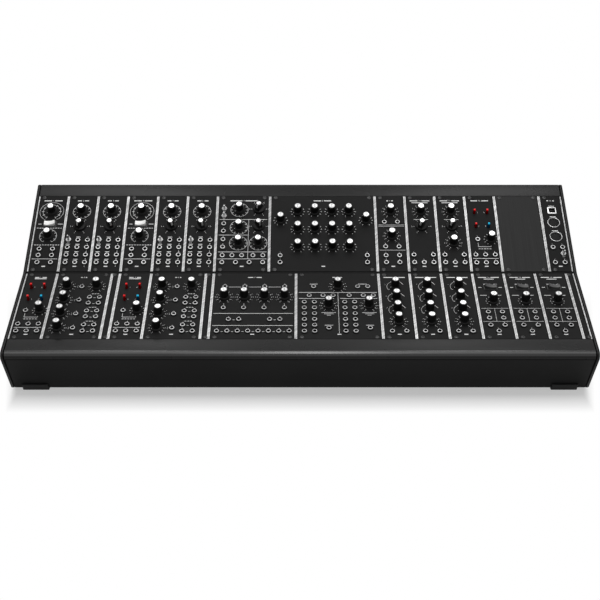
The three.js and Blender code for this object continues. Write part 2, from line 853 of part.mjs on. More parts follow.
// A row of modules on its slope, with the loose controls at their places
function addRow(modules, start, slope) {
  const row = new THREE.Group();
  row.position.set(-rackWidth / 2, start.x, start.y);
  row.rotation.x = radians(slope);
  let units = 0;
  for (const [name, width, places, loose] of modules) {
    const slot = new THREE.Group();
    slot.position.x = units * pitch;
    const label = name + (places === blankShares ? "_panel" : "_module");
    slot.add(meshOf(label, makeModule(width, places, loose), "panelBlack"));
    for (const [kind, index, ending] of loose) {
      const [column, down] = places[kind][index];
      const { make, depth, finish } = loosePieces[kind];
      const control = meshOf(name + "_" + ending, make(), finish(index, name));
      control.position.set(column * pitch, (1 - down) * panelHeight, -depth);
      if (kind === "rockers") control.rotation.y = radians(name === "driver_1" ? -rockerTilt : rockerTilt);
      slot.add(control);
    }
    row.add(slot);
    units += width;
  }
  chassis.add(row);
}

chassis.add(meshOf("case_tub", makeTub(), "satinBlack"));
chassis.add(meshOf("front_rail", makeFrontRail(), "lipBlack"));
chassis.add(meshOf("middle_rail", makeMiddleRail(), "satinBlack"));
chassis.add(meshOf("rear_rail", makeRearRail(), "lipBlack"));
chassis.add(meshOf("left_cheek", makeCheek(-rackWidth / 2 - cheekThickness), "satinBlack"));
chassis.add(meshOf("right_cheek", makeCheek(rackWidth / 2), "satinBlack"));
chassis.add(meshOf("power_supply", makeSupply(), "supplySteel"));
chassis.add(meshOf("bus_board", makeBusBoard(), "boardGreen"));

const footX = rackWidth / 2 - footSideInset - footWidth / 2;
for (const [side, x] of [["left", -footX], ["right", footX]]) {
  const front = meshOf("front_" + side + "_foot", makeFoot(chin, frontHeel, 1), "rubber");
  const rear = meshOf("rear_" + side + "_foot", makeFoot(shoulder, rearHeel, -1), "rubber");
  front.position.x = x;
  rear.position.x = x;
  chassis.add(front, rear);
}

addRow(lowerRow, lowerFront, lowerSlope);
addRow(upperRow, upperFront, upperSlope);

const synthesizer = new THREE.Group();
synthesizer.add(chassis);
export default synthesizer;
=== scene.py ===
# %% [markdown]
# A modular synthesizer in a desktop case. Two sloping rows of rack modules carry skirted knobs,
# pointer selectors, rocker switches, levers, bat toggles and 230 patch sockets.
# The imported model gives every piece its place. This lesson dresses each piece with a fine
# surface, starting from small shapes that are made once and stamped where they are needed.
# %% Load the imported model
import math

import bmesh
import bpy
from mathutils import Matrix, Vector


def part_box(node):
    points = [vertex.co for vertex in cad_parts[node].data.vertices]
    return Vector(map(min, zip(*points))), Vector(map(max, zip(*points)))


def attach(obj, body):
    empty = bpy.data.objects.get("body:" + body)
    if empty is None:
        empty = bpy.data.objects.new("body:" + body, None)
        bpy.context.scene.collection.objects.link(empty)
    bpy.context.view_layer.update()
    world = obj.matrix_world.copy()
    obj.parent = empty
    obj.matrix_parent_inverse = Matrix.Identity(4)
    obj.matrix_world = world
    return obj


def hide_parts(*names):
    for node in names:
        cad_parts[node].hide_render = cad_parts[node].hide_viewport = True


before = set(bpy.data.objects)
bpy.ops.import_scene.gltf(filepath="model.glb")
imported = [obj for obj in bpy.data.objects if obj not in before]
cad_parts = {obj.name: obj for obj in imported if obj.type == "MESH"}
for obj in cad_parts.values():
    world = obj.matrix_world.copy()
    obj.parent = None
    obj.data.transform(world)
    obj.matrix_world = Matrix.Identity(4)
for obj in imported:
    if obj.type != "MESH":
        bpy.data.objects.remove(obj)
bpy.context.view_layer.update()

# %% [markdown]
# The camera comes first, because it decides what has to look right. A product photo of a long
# instrument is taken from some distance with a long lens, a little from above, so that both
# rows are seen. The focal length and the tilt were fitted to the corners of the rack panels.
# %% Camera
CAMERA_PLACE = (0.0, -1.4128, 0.7113)
CAMERA_TILT = math.radians(65.5)
FOCAL_LENGTH = 70.56

camera_data = bpy.data.cameras.new("camera")
camera_data.lens = FOCAL_LENGTH
camera_data.sensor_width = 36
camera = bpy.data.objects.new("camera", camera_data)
camera.location = CAMERA_PLACE
camera.rotation_euler = (CAMERA_TILT, 0, 0)
bpy.context.scene.collection.objects.link(camera)
bpy.context.scene.camera = camera
bpy.context.scene.view_settings.view_transform = "Standard"
print("camera at", CAMERA_PLACE, "lens", FOCAL_LENGTH)

# %% [markdown]
# Node trees are built with small helpers. One adds a node with its settings, others do plain
# sums, map a range and blend colours. A material starts with the plain numbers of its Principled
# shader, which stay on the shader, and ends with its colour, roughness and bump plugged in.
# %% Helpers for node trees
def add_node(tree, kind, links=None, **settings):
    """Adds a node, sets its properties, and links or sets its inputs by name or number."""
    node = tree.nodes.new(kind)
    for key, value in settings.items():
        setattr(node, key, value)
    for key, value in (links or {}).items():
        if isinstance(value, bpy.types.NodeSocket):
            tree.links.new(value, node.inputs[key])
        else:
            node.inputs[key].default_value = value
    return node


def maths(tree, operation, *values):
    """One plain sum on numbers or sockets."""
    return add_node(tree, "ShaderNodeMath", dict(enumerate(values)), operation=operation).outputs[0]


def mapped(tree, value, start=(0.0, 1.0), end=(0.0, 1.0), **settings):
    """Takes a value from one (low, high) range to another."""
    links = {"Value": value, "From Min": start[0], "From Max": start[1], "To Min": end[0], "To Max": end[1]}
    return add_node(tree, "ShaderNodeMapRange", links, **settings).outputs["Result"]


def blended(tree, share, first, second):
    """A colour between two others."""
    links = {"Factor": share, 6: first, 7: second}
    return add_node(tree, "ShaderNodeMix", links, data_type="RGBA").outputs[2]


def plug_in(tree, shader, colour, roughness, height, bump, strength):
    """Gives a shader its colour, its roughness and a bump whose depth is in metres."""
    relief = add_node(tree, "ShaderNodeBump", {"Height": height, "Distance": bump, "Strength": strength})
    tree.links.new(colour, shader.inputs["Base Color"])
    tree.links.new(roughness, shader.inputs["Roughness"])
    tree.links.new(relief.outputs["Normal"], shader.inputs["Normal"])


def new_finish(name, **values):
    """Starts a material and returns it with its tree and its Principled shader."""
    material = bpy.data.materials.new(name)
    material.use_nodes = True
    shader = material.node_tree.nodes["Principled BSDF"]
    for key, value in values.items():
        shader.inputs[key.replace("_", " ")].default_value = value
    return material, material.node_tree, shader


def grey(level):
    return (level, level, level, 1)


def new_group(name, inputs, outputs):
    """Starts a shared node group with float or vector sockets."""
    tree = bpy.data.node_groups.new(name, "ShaderNodeTree")
    for label, kind, value in inputs:
        socket = tree.interface.new_socket(label, in_out="INPUT", socket_type=kind)
        if value is not None:
            socket.default_value = value
    for label in outputs:
        tree.interface.new_socket(label, in_out="OUTPUT", socket_type="NodeSocketFloat")
    return tree, tree.nodes.new("NodeGroupInput"), tree.nodes.new("NodeGroupOutput")


# %% [markdown]
# Painted sheet, moulded plastic and rubber all have a fine grain that catches light, and a
# slower unevenness from handling. Both come from noise in object coordinates, so one shared
# group serves every finish with its own grain size. It gives a height for bump and a slow tone.
# %% Shared effect: fine grain
grain_tree, grain_in, grain_out = new_group(
    "fine_grain",
    [
        ("Place", "NodeSocketVector", None),
        ("Grains per metre", "NodeSocketFloat", 3000.0),
        ("Patches per metre", "NodeSocketFloat", 25.0),
    ],
    ["Height", "Tone"],
)
fine_noise = add_node(
    grain_tree,
    "ShaderNodeTexNoise",
    {"Vector": grain_in.outputs["Place"], "Scale": grain_in.outputs["Grains per metre"], "Detail": 2.0},
)
slow_noise = add_node(
    grain_tree,
    "ShaderNodeTexNoise",
    {"Vector": grain_in.outputs["Place"], "Scale": grain_in.outputs["Patches per metre"], "Detail": 3.0},
)
grain_tree.links.new(fine_noise.outputs["Fac"], grain_out.inputs["Height"])
grain_tree.links.new(slow_noise.outputs["Fac"], grain_out.inputs["Tone"])

# %% [markdown]
# Brushing leaves long fine scratches: noise that is squeezed across them and drawn out along
# them. This group squeezes across the case. A finish that wants another way turns the place
# that it hands in.
# %% Shared effect: brushed metal
brush_tree, brush_in, brush_out = new_group(
    "brushed_along",
    [
        ("Place", "NodeSocketVector", None),
        ("Scratches per metre", "NodeSocketFloat", 4000.0),
        ("Drawn out", "NodeSocketFloat", 60.0),
    ],
    ["Height", "Tone"],
)
brush_parts = add_node(brush_tree, "ShaderNodeSeparateXYZ", {"Vector": brush_in.outputs["Place"]})
brush_stretch = {}
for axis, density in (("X", "Scratches per metre"), ("Y", "Drawn out"), ("Z", "Drawn out")):
    brush_stretch[axis] = maths(brush_tree, "MULTIPLY", brush_parts.outputs[axis], brush_in.outputs[density])
brush_place = add_node(brush_tree, "ShaderNodeCombineXYZ", brush_stretch)
brush_noise = add_node(
    brush_tree, "ShaderNodeTexNoise", {"Vector": brush_place.outputs[0], "Scale": 1.0, "Detail": 3.0}
)
for label in ("Height", "Tone"):
    brush_tree.links.new(brush_noise.outputs["Fac"], brush_out.inputs[label])

# %% [markdown]
# The caps on the knobs are turned on a lathe, which leaves rings round the axis. Light runs over
# such a cap in a cross of bright and dark wedges that fades towards the rim; here the wedges are a
# painted reflection in the colour. Every stamped shape remembers its place about its own axis in
# an attribute, in millimetres, and this group reads rings and wedges from it.
# %% Shared effect: spun metal
spun_tree, spun_in, spun_out = new_group(
    "spun_rings",
    [
        ("Place", "NodeSocketVector", None),
        ("Rings per millimetre", "NodeSocketFloat", 3.0),
        ("Rim of wedges", "NodeSocketFloat", 3.6),
    ],
    ["Height", "Wedges", "Radius"],
)
spun_parts = add_node(spun_tree, "ShaderNodeSeparateXYZ", {"Vector": spun_in.outputs["Place"]})
spun_x, spun_y = spun_parts.outputs["X"], spun_parts.outputs["Y"]
spun_flat = add_node(spun_tree, "ShaderNodeCombineXYZ", {"X": spun_x, "Y": spun_y})
spun_length = add_node(spun_tree, "ShaderNodeVectorMath", {0: spun_flat.outputs[0]}, operation="LENGTH")
spun_radius = spun_length.outputs["Value"]
ring_turns = maths(spun_tree, "MULTIPLY", spun_radius, spun_in.outputs["Rings per millimetre"])
ring_height = maths(spun_tree, "SINE", maths(spun_tree, "MULTIPLY", ring_turns, math.tau))
WEDGE_TURN = 0.9
# Painted reflection: a cross of dark wedges for the cap's colour, fading out towards the rim.
wedge_angle = maths(spun_tree, "ARCTAN2", spun_y, spun_x)
wedge_wave = maths(spun_tree, "COSINE", maths(spun_tree, "MULTIPLY_ADD", wedge_angle, 2.0, WEDGE_TURN))
wedge_share = mapped(spun_tree, wedge_wave, (-0.2, 0.8), interpolation_type="SMOOTHSTEP")
wedge_fade = mapped(spun_tree, spun_radius, (0.6, spun_in.outputs["Rim of wedges"]), (1.0, 0.0))
painted_reflection_wedges = maths(spun_tree, "MULTIPLY", wedge_share, wedge_fade)
for label, value in (("Height", ring_height), ("Wedges", painted_reflection_wedges), ("Radius", spun_radius)):
    spun_tree.links.new(value, spun_out.inputs[label])
print("shared effects:", [tree.name for tree in bpy.data.node_groups])

# %% [markdown]
# Most finishes here are a dark or a coloured skin over grain. This helper places the shared
# grain in a material, bends the roughness with the slow tone, mixes two close colours by it,
# and adds a shallow bump. Each finish then only needs its own numbers.
# %% Finishes with grain
def grained(name, dark, light, rough, grain=3000.0, patches=25.0, bump=0.00002, **values):
    """A skin between two close colours, with roughness (low, high), fine grain and a bump in metres."""
    material, tree, shader = new_finish(name, **values)
    place = add_node(tree, "ShaderNodeTexCoord").outputs["Object"]
    links = {"Place": place, "Grains per metre": grain, "Patches per metre": patches}
    skin = add_node(tree, "ShaderNodeGroup", links, node_tree=grain_tree)
    colour = blended(tree, skin.outputs["Tone"], dark, light)
    roughness = mapped(tree, skin.outputs["Tone"], (0.3, 0.7), rough)
    plug_in(tree, shader, colour, roughness, skin.outputs["Height"], bump, 0.6)
    return material


powder_black = grained(
    "powder_black", grey(0.004), grey(0.0055), (0.42, 0.52), 1500, 12, 0.00005, Specular_IOR_Level=0.06
)
lip_black = grained(
    "lip_black", grey(0.0055), grey(0.0075), (0.25, 0.31), 1500, 12, 0.00003, Specular_IOR_Level=0.17
)
nose_black = grained(
    "nose_black", grey(0.0055), grey(0.0075), (0.19, 0.25), 1500, 12, 0.00002, Specular_IOR_Level=0.5
)
# Painted shade for the bevels of the cheeks' broken rims: a blacker colour than the plate.
rim_painted_shade = grained(
    "rim_painted_shade", grey(0.001), grey(0.002), (0.42, 0.5), 1500, 12, 0.00003, Specular_IOR_Level=0.03
)
panel_black = grained(
    "panel_black", grey(0.0085), grey(0.011), (0.5, 0.6), 2500, 40, 0.00003, Specular_IOR_Level=0.055
)
knob_black = grained(
    "knob_black", grey(0.003), grey(0.0045), (0.42, 0.5), 5000, 150, 0.00001, Specular_IOR_Level=0.12
)
# Painted shade for recesses: socket bores, and the walls of the plates' holes, grooves and edges.
painted_recess_shade = grained(
    "painted_recess_shade", grey(0.001), grey(0.002), (0.7, 0.8), 4000, 200, 0.00001, Specular_IOR_Level=0.05
)
nut_black = grained(
    "nut_black", grey(0.003), grey(0.005), (0.5, 0.6), 4000, 200, 0.00001, Specular_IOR_Level=0.12
)
screw_black = grained(
    "screw_black", grey(0.03), grey(0.055), (0.25, 0.35), 5000, 300, 0.00001, Metallic=0.6
)
rubber_black = grained(
    "rubber_black", grey(0.012), grey(0.018), (0.75, 0.9), 2500, 60, 0.00006, Specular_IOR_Level=0.3
)
rocker_white = grained(
    "rocker_white", (0.9, 0.9, 0.885, 1), (0.94, 0.94, 0.925, 1), (0.3, 0.4), 4000, 80, 0.00001
)
rocker_dark = grained(
    "rocker_dark", grey(0.02), grey(0.028), (0.35, 0.45), 4000, 80, 0.00001, Specular_IOR_Level=0.6
)
LEVER_SKIN = ((0.22, 0.32), 4000, 120, 0.00001)
lever_red = grained(
    "lever_red", (0.8, 0.003, 0.003, 1), (0.92, 0.006, 0.005, 1), *LEVER_SKIN, Specular_IOR_Level=0.2
)
lever_blue = grained(
    "lever_blue", (0.0005, 0.44, 0.75, 1), (0.001, 0.55, 0.88, 1), *LEVER_SKIN, Specular_IOR_Level=0.2
)
print_ink = grained("print_ink", grey(0.7), grey(0.8), (0.6, 0.7), 9000, 400, 0.000005)
board_green = grained(
    "board_green", (0.008, 0.075, 0.022, 1), (0.012, 0.11, 0.035, 1), (0.3, 0.4), 600, 300, 0.00003
)
part_black = grained("part_black", grey(0.006), grey(0.01), (0.45, 0.6), 3000, 200, 0.00002)
METAL_SKIN = {"grain": 5000, "patches": 300, "bump": 0.00001, "Metallic": 1.0}
nickel = grained("nickel", grey(0.62), grey(0.78), (0.2, 0.32), **METAL_SKIN)
socket_nickel = grained("socket_nickel", grey(0.43), grey(0.6), (0.28, 0.4), **METAL_SKIN)
bat_nickel = grained("bat_nickel", grey(0.26), grey(0.36), (0.25, 0.35), **METAL_SKIN)
inlay_bright = grained("inlay_bright", grey(0.5), grey(0.6), (0.3, 0.4), **METAL_SKIN)
supply_steel = grained("supply_steel", grey(0.4), grey(0.55), (0.3, 0.45), 900, 60, 0.00003, Metallic=1.0)


def fade_in_tips(finish, dark, foot, tip):
    """Paints shade into a finish: darker towards the foot of a stamped shape, by its height in millimetres."""
    tree = finish.node_tree
    shader = tree.nodes["Principled BSDF"]
    full = shader.inputs["Base Color"].links[0].from_socket
    place = add_node(tree, "ShaderNodeAttribute", attribute_name="from_axis").outputs["Vector"]
    height = add_node(tree, "ShaderNodeSeparateXYZ", {"Vector": place}).outputs["Z"]
    mixed = blended(tree, mapped(tree, height, (foot, tip)), dark, full)
    tree.links.new(mixed, shader.inputs["Base Color"])


def dull_at_the_edge(finish, level):
    """Lets the coat's gloss die away where it is seen edge on, as a rough powder coat's does."""
    tree = finish.node_tree
    facing = add_node(tree, "ShaderNodeLayerWeight", {"Blend": 0.5}).outputs["Facing"]
    gloss = mapped(tree, facing, (0.45, 0.85), (level, 0.0))
    tree.links.new(gloss, tree.nodes["Principled BSDF"].inputs["Specular IOR Level"])


# Painted shade: the levers' colour darkens down their sides, below the lit tip.
LEVER_PAINTED_SHADE = (7.2, 8.9)
fade_in_tips(lever_red, (0.16, 0.0, 0.0, 1), *LEVER_PAINTED_SHADE)
fade_in_tips(lever_blue, (0.0, 0.04, 0.10, 1), *LEVER_PAINTED_SHADE)
dull_at_the_edge(lip_black, 0.17)
dull_at_the_edge(powder_black, 0.06)
print("grained finishes:", len(bpy.data.materials))

# %% [markdown]
# The bright strips use the brushed effect twice, fine scratches and a broad sweep, and both are
# turned, so that the streaks cross a strip at a slant. The strips of the upper row are the same
# metal in darker greys, as painted shade.
# The wide blank panel has upright streaks in black.
# %% Brushed aluminium
BRUSH_SLANT = 0.85
SWEEP_SHARE = 0.7


def brushed_band(name, dark, light):
    """Slanted streaks between two greys for the strips beside the panels."""
    material, tree, shader = new_finish(name, Metallic=1.0)
    place = add_node(tree, "ShaderNodeTexCoord").outputs["Object"]
    turned_place = add_node(
        tree, "ShaderNodeVectorRotate", {"Vector": place, "Angle": BRUSH_SLANT}, rotation_type="Z_AXIS"
    ).outputs[0]
    brush = add_node(tree, "ShaderNodeGroup", {"Place": turned_place}, node_tree=brush_tree)
    links = {"Place": turned_place, "Scratches per metre": 520, "Drawn out": 20}
    sweep = add_node(tree, "ShaderNodeGroup", links, node_tree=brush_tree)
    links = {"Factor": SWEEP_SHARE, 2: brush.outputs["Tone"], 3: sweep.outputs["Tone"]}
    streaks = mapped(tree, add_node(tree, "ShaderNodeMix", links).outputs[0], (0.38, 0.62))
    colour = blended(tree, streaks, grey(dark), grey(light))
    roughness = mapped(tree, brush.outputs["Tone"], end=(0.28, 0.42))
    plug_in(tree, shader, colour, roughness, brush.outputs["Height"], 0.00002, 0.5)
    return material


band_aluminium = brushed_band("band_aluminium", 0.28, 0.55)
# Painted shade: the upper row's strips are a darker copy of the same metal.
upper_band_painted_shade = brushed_band("upper_band_painted_shade", 0.19, 0.38)

panel_brushed, streak_tree, streak_shader = new_finish("panel_brushed", Specular_IOR_Level=0.12)
streak_place = add_node(streak_tree, "ShaderNodeTexCoord").outputs["Object"]
streak_links = {"Place": streak_place, "Scratches per metre": 900.0, "Drawn out": 12.0}
streaks = add_node(streak_tree, "ShaderNodeGroup", streak_links, node_tree=brush_tree)
streak_colour = blended(streak_tree, streaks.outputs["Tone"], grey(0.003), grey(0.02))
streak_rough = mapped(streak_tree, streaks.outputs["Tone"], end=(0.4, 0.56))
plug_in(streak_tree, streak_shader, streak_colour, streak_rough, streaks.outputs["Height"], 0.00003, 0.6)
print("brushed finishes:", [m.name for m in bpy.data.materials[-3:]])

# %% [markdown]
# A knob's cap has its rings and its painted reflection wedges, and painted shade darkens its colour towards the
# rim.
# %% Spun aluminium
cap_aluminium, cap_tree, cap_shader = new_finish("cap_aluminium", Metallic=1.0)
cap_place = add_node(cap_tree, "ShaderNodeAttribute", attribute_name="from_axis").outputs["Vector"]
cap_rings = add_node(cap_tree, "ShaderNodeGroup", {"Place": cap_place}, node_tree=spun_tree)
# Painted reflection and shade: the wedges darken the cap's colour, and it darkens further towards the rim.
cap_top = blended(cap_tree, cap_rings.outputs["Wedges"], grey(0.69), grey(0.3))
cap_painted_rim_shade = mapped(cap_tree, cap_rings.outputs["Radius"], (3.0, 4.0), interpolation_type="SMOOTHSTEP")
cap_colour = blended(cap_tree, cap_painted_rim_shade, cap_top, grey(0.2))
cap_rough = mapped(cap_tree, cap_rings.outputs["Height"], end=(0.22, 0.34))
plug_in(cap_tree, cap_shader, cap_colour, cap_rough, cap_rings.outputs["Height"], 0.00001, 0.4)
print("all finishes:", len(bpy.data.materials))

# %% [markdown]
# Shapes are drawn in millimetres about their own axis or corner and kept as loose meshes. A
# piece is put together by stamping shapes at their places, then turned into metres in one go.
# While a shape is stamped, every point notes where it lies about that shape's own axis.
# %% Helpers for shapes
MM = 0.001
MERGE = 0.0001
STILL = Matrix.Identity(4)
piece_count = {"pieces": 0, "faces": 0}


def keep_shape(bm, look=None):
    """Closes a bmesh into a loose mesh with outward faces, all with one finish number if given."""
    bmesh.ops.recalc_face_normals(bm, faces=bm.faces)
    if look is not None:
        for face in bm.faces:
            face.material_index = look
    shape = bpy.data.meshes.new("shape")
    bm.to_mesh(shape)
    bm.free()
    return shape


def round_edges(bm, edges, offset, segments):
    bmesh.ops.bevel(bm, geom=edges, offset=offset, segments=segments, profile=0.5, affect="EDGES", material=-1)


def draw_out(bm, face, step):
    """Extrudes a face by a step, which leaves a closed block."""
    moved = bmesh.ops.extrude_face_region(bm, geom=[face])["geom"]
    bmesh.ops.translate(bm, verts=points_in(moved), vec=step)


def points_in(geometry):
    return [item for item in geometry if isinstance(item, bmesh.types.BMVert)]


def stamp(bm, shape, place=STILL):
    """Adds a shape to a bmesh at a place."""
    layer = bm.verts.layers.float_vector.get("from_axis")
    layer = layer or bm.verts.layers.float_vector.new("from_axis")
    first = len(bm.verts)
    bm.from_mesh(shape)
    bm.verts.ensure_lookup_table()
    added = bm.verts[first:]
    for vert in added:
        vert[layer] = vert.co
    bmesh.ops.transform(bm, matrix=place, verts=added)


def stamped(shape, places=(STILL,)):
    """A new bmesh with one shape where it was made, or at each of several places."""
    bm = bmesh.new()
    for place in places:
        stamp(bm, shape, place)
    return bm


def assembled(*shapes):
    """Several shapes, or (shape, place) pairs, as one shape."""
    bm = bmesh.new()
    for item in shapes:
        stamp(bm, *(item if isinstance(item, tuple) else (item,)))
    shape = bpy.data.meshes.new("shape")
    bm.to_mesh(shape)
    bm.free()
    return shape


def turned(outline, steps, look=0, angle=math.tau):
    """Spins an outline of (radius, height) points about the upright axis."""
    bm = bmesh.new()
    corners = [bm.verts.new((radius, 0, height)) for radius, height in outline]
    if angle < math.tau:
        face = bm.faces.new(corners)
        start = [face, *face.edges, *corners]
    else:
        start = corners + [bm.edges.new(pair) for pair in zip(corners, corners[1:])]
    bmesh.ops.spin(
        bm, geom=start, cent=(0, 0, 0), axis=(0, 0, 1), angle=angle, steps=steps, use_merge=angle >= math.tau
    )
    bmesh.ops.remove_doubles(bm, verts=bm.verts, dist=MERGE)
    return keep_shape(bm, look)


def boxed(low, high, rounding=0.0, segments=2, look=0):
    """A box between two corners with rounded edges."""
    low, high = Vector(low), Vector(high)
    bm = bmesh.new()
    size = Matrix.Diagonal((*(high - low), 1))
    bmesh.ops.create_cube(bm, size=1, matrix=Matrix.Translation((low + high) / 2) @ size)
    if rounding:
        round_edges(bm, bm.edges[:], rounding, segments)
    return keep_shape(bm, look)


def drawn(outline, depth, look=0, rounding=0.0):
    """A flat outline in x and z, drawn out along y about its middle, with its rim rounded."""
    bm = bmesh.new()
    face = bm.faces.new([bm.verts.new((x, -depth / 2, z)) for x, z in outline])
    draw_out(bm, face, (0, depth, 0))
    if rounding:
        round_edges(bm, bm.edges[:], rounding, 2)
    return keep_shape(bm, look)


def at(x, y, z=0.0, turn=0.0):
    """A place on a panel, with a turn clockwise in degrees."""
    return Matrix.Translation((x, y, z)) @ Matrix.Rotation(-math.radians(turn), 4, "Z")


def finish_piece(bm, name, looks, body="case", stands_for=(), slot=None, place=STILL, crease=32):
    """Turns a bmesh in millimetres into a piece in metres that rides on a body."""
    bm.transform(Matrix.Scale(MM, 4) @ place)
    mesh = bpy.data.meshes.new(name)
    bm.to_mesh(mesh)
    bm.free()
    for look in looks:
        mesh.materials.append(look)
    mesh.shade_smooth()
    mesh.set_sharp_from_angle(angle=math.radians(crease))
    piece = bpy.data.objects.new(name, mesh)
    bpy.context.scene.collection.objects.link(piece)
    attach(piece, body)
    if stands_for:
        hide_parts(*stands_for)
    piece_count["pieces"] += 1
    piece_count["faces"] += len(mesh.polygons)


# %% [markdown]
# Every module follows one rack grid: panels 128.5 mm high and a whole number of 5.08 mm units
# wide. The tables hold the places of the controls of each kind of module, across in units from
# its left edge and down in shares of its height, read from the photograph's two rows.
# %% Rack grid and the kinds of module
PITCH = 5.08
RACK_UNITS = 140
PANEL_HEIGHT = 128.5
PANEL_THICKNESS = 2.0
PANEL_GAP = 0.2
UPPER_FOOT = 0.888
LOWER_FOOT = 0.894
VOLTAGE_FOOT = 0.891
THREE = (1.5, 4, 6.5)
PAIR = (2.27, 5.73)


def grid(columns, rows):
    return [(column, row) for row in rows for column in columns]


KINDS = {
    "driver": {
        "knobs": [(4, 0.213), (4, 0.54)],
        "rockers": [(4, 0.381)],
        "sockets": grid(PAIR, (0.715, 0.797, UPPER_FOOT)),
    },
    "oscillator": {
        "knobs": [(4, 0.213)],
        "selectors": [(4, 0.411)],
        "toggles": [(1.5, 0.589)],
        "sockets": grid((4, 6.5), (0.598,)) + grid(THREE, (0.693, 0.791, UPPER_FOOT)),
    },
    "modulation": {
        "knobs": [(5.9, 0.189), (5.9, 0.425), (5.9, 0.633), (11.1, 0.633)],
        "selectors": [(11.1, 0.177), (11.1, 0.411)],
        "toggles": [(1.87, 0.171), (1.87, 0.268)],
        "sockets": grid((1.87,), (0.38, 0.48, 0.589, 0.688))
        + grid((1.87, 4.39, 6.89, 9.84, 12.38), (0.799,))
        + grid((1.87, 5.39, 8.88, 12.38), (UPPER_FOOT,)),
    },
    "filter_bank": {
        "knobs": grid((7.4, 11.9, 16.4, 20.9), (0.213, 0.45, 0.684)) + grid((2.87, 25.4), (0.33,)),
        "sockets": grid((2.87, 25.4), (0.799, UPPER_FOOT)),
    },
    "low_filter": {
        "knobs": [(4, 0.213), (4, 0.54)],
        "sockets": grid(PAIR, (0.358, 0.684, 0.799, UPPER_FOOT)),
    },
    "short_filter": {
        "knobs": [(4, 0.213)],
        "selectors": [(4, 0.411)],
        "sockets": grid((1.5, 6.5), (0.791,)) + grid(THREE, (UPPER_FOOT,)),
    },
    "long_filter": {
        "knobs": [(4, 0.213), (4, 0.633)],
        "selectors": [(4, 0.411)],
        "sockets": grid((1.5, 6.5), (0.791,)) + grid(THREE, (UPPER_FOOT,)),
    },
    "voltage": {
        "knobs": [(5.89, 0.582)],
        "levers": grid((2.32, 5.67), (0.227, 0.412)),
        "sockets": [(2.46, 0.588)] + grid(THREE, (0.79, VOLTAGE_FOOT)),
    },
    "interface": {
        "toggles": [(4.25, 0.77)],
        "ports": [(3, 0.2)],
        "dins": [(3, 0.364), (3, 0.551)],
        "sockets": grid((1.75, 4.25), (0.692, UPPER_FOOT)),
    },
    "mixer": {
        "knobs": grid((3.25,), (0.212, 0.423, 0.632, 0.842)) + [(10.73, 0.212)],
        "sockets": grid((7,), (0.218, 0.429, 0.638, 0.848))
        + grid((9.5, 12), (0.386, 0.476, 0.595, 0.682, 0.803, LOWER_FOOT)),
    },
    "attenuator": {
        "knobs": grid((3.08, 8.09, 13.12, 18.13), (0.376,)),
        "sockets": grid((3.08, 8.09, 13.12, 18.13), (0.218, 0.547))
        + grid((4.53, 7.05, 14.57, 17.09), (0.722,))
        + grid((1.87, 4.37, 6.87, 9.37, 11.87, 14.37, 16.87, 19.37), (LOWER_FOOT,)),
    },
    "router": {
        "knobs": [(10.5, 0.212), (8.07, 0.509), (18.07, 0.509)],
        "sockets": grid((4.43, 15.53, 18.07), (0.218,))
        + grid((3.3, 6.76, 9.26, 13.27, 16.8, 19.3), (0.359,))
        + grid((2.06, 4.56, 12.09, 14.53), (0.46, 0.547, 0.635, 0.722, 0.807, LOWER_FOOT))
        + grid((8.01, 18), (0.848,)),
    },
    "envelope": {
        "knobs": grid((4,), (0.212, 0.398, 0.577, 0.748)),
        "sockets": grid(PAIR, (LOWER_FOOT,)),
    },
    "amplifier": {
        "rockers": [(4, 0.224)],
        "knobs": [(4, 0.437)],
        "sockets": grid(PAIR, (0.61, 0.703, 0.807)) + [(4, LOWER_FOOT)],
    },
    "blank": {},
}
UPPER_ROW = [
    ("driver_1", 8, "driver"),
    ("oscillator_1", 8, "oscillator"),
    ("oscillator_2", 8, "oscillator"),
    ("driver_2", 8, "driver"),
    ("oscillator_3", 8, "oscillator"),
    ("oscillator_4", 8, "oscillator"),
    ("modulation", 14, "modulation"),
    ("filter_bank", 28, "filter_bank"),
    ("filter_1", 8, "low_filter"),
    ("filter_2", 8, "short_filter"),
    ("filter_3", 8, "long_filter"),
    ("voltage_1", 8, "voltage"),
    ("blank_wide", 12, "blank"),
    ("interface", 6, "interface"),
]
LOWER_ROW = [
    ("voltage_2", 8, "voltage"),
    ("mixer_1", 14, "mixer"),
    ("blank_narrow_1", 2, "blank"),
    ("voltage_3", 8, "voltage"),
    ("mixer_2", 14, "mixer"),
    ("blank_narrow_2", 2, "blank"),
    ("attenuator", 21, "attenuator"),
    ("router", 21, "router"),
    ("envelope_1", 8, "envelope"),
    ("envelope_2", 8, "envelope"),
    ("envelope_3", 8, "envelope"),
    ("amplifier_1", 8, "amplifier"),
    ("amplifier_2", 8, "amplifier"),
    ("amplifier_3", 8, "amplifier"),
    ("blank_narrow_3", 2, "blank"),
]
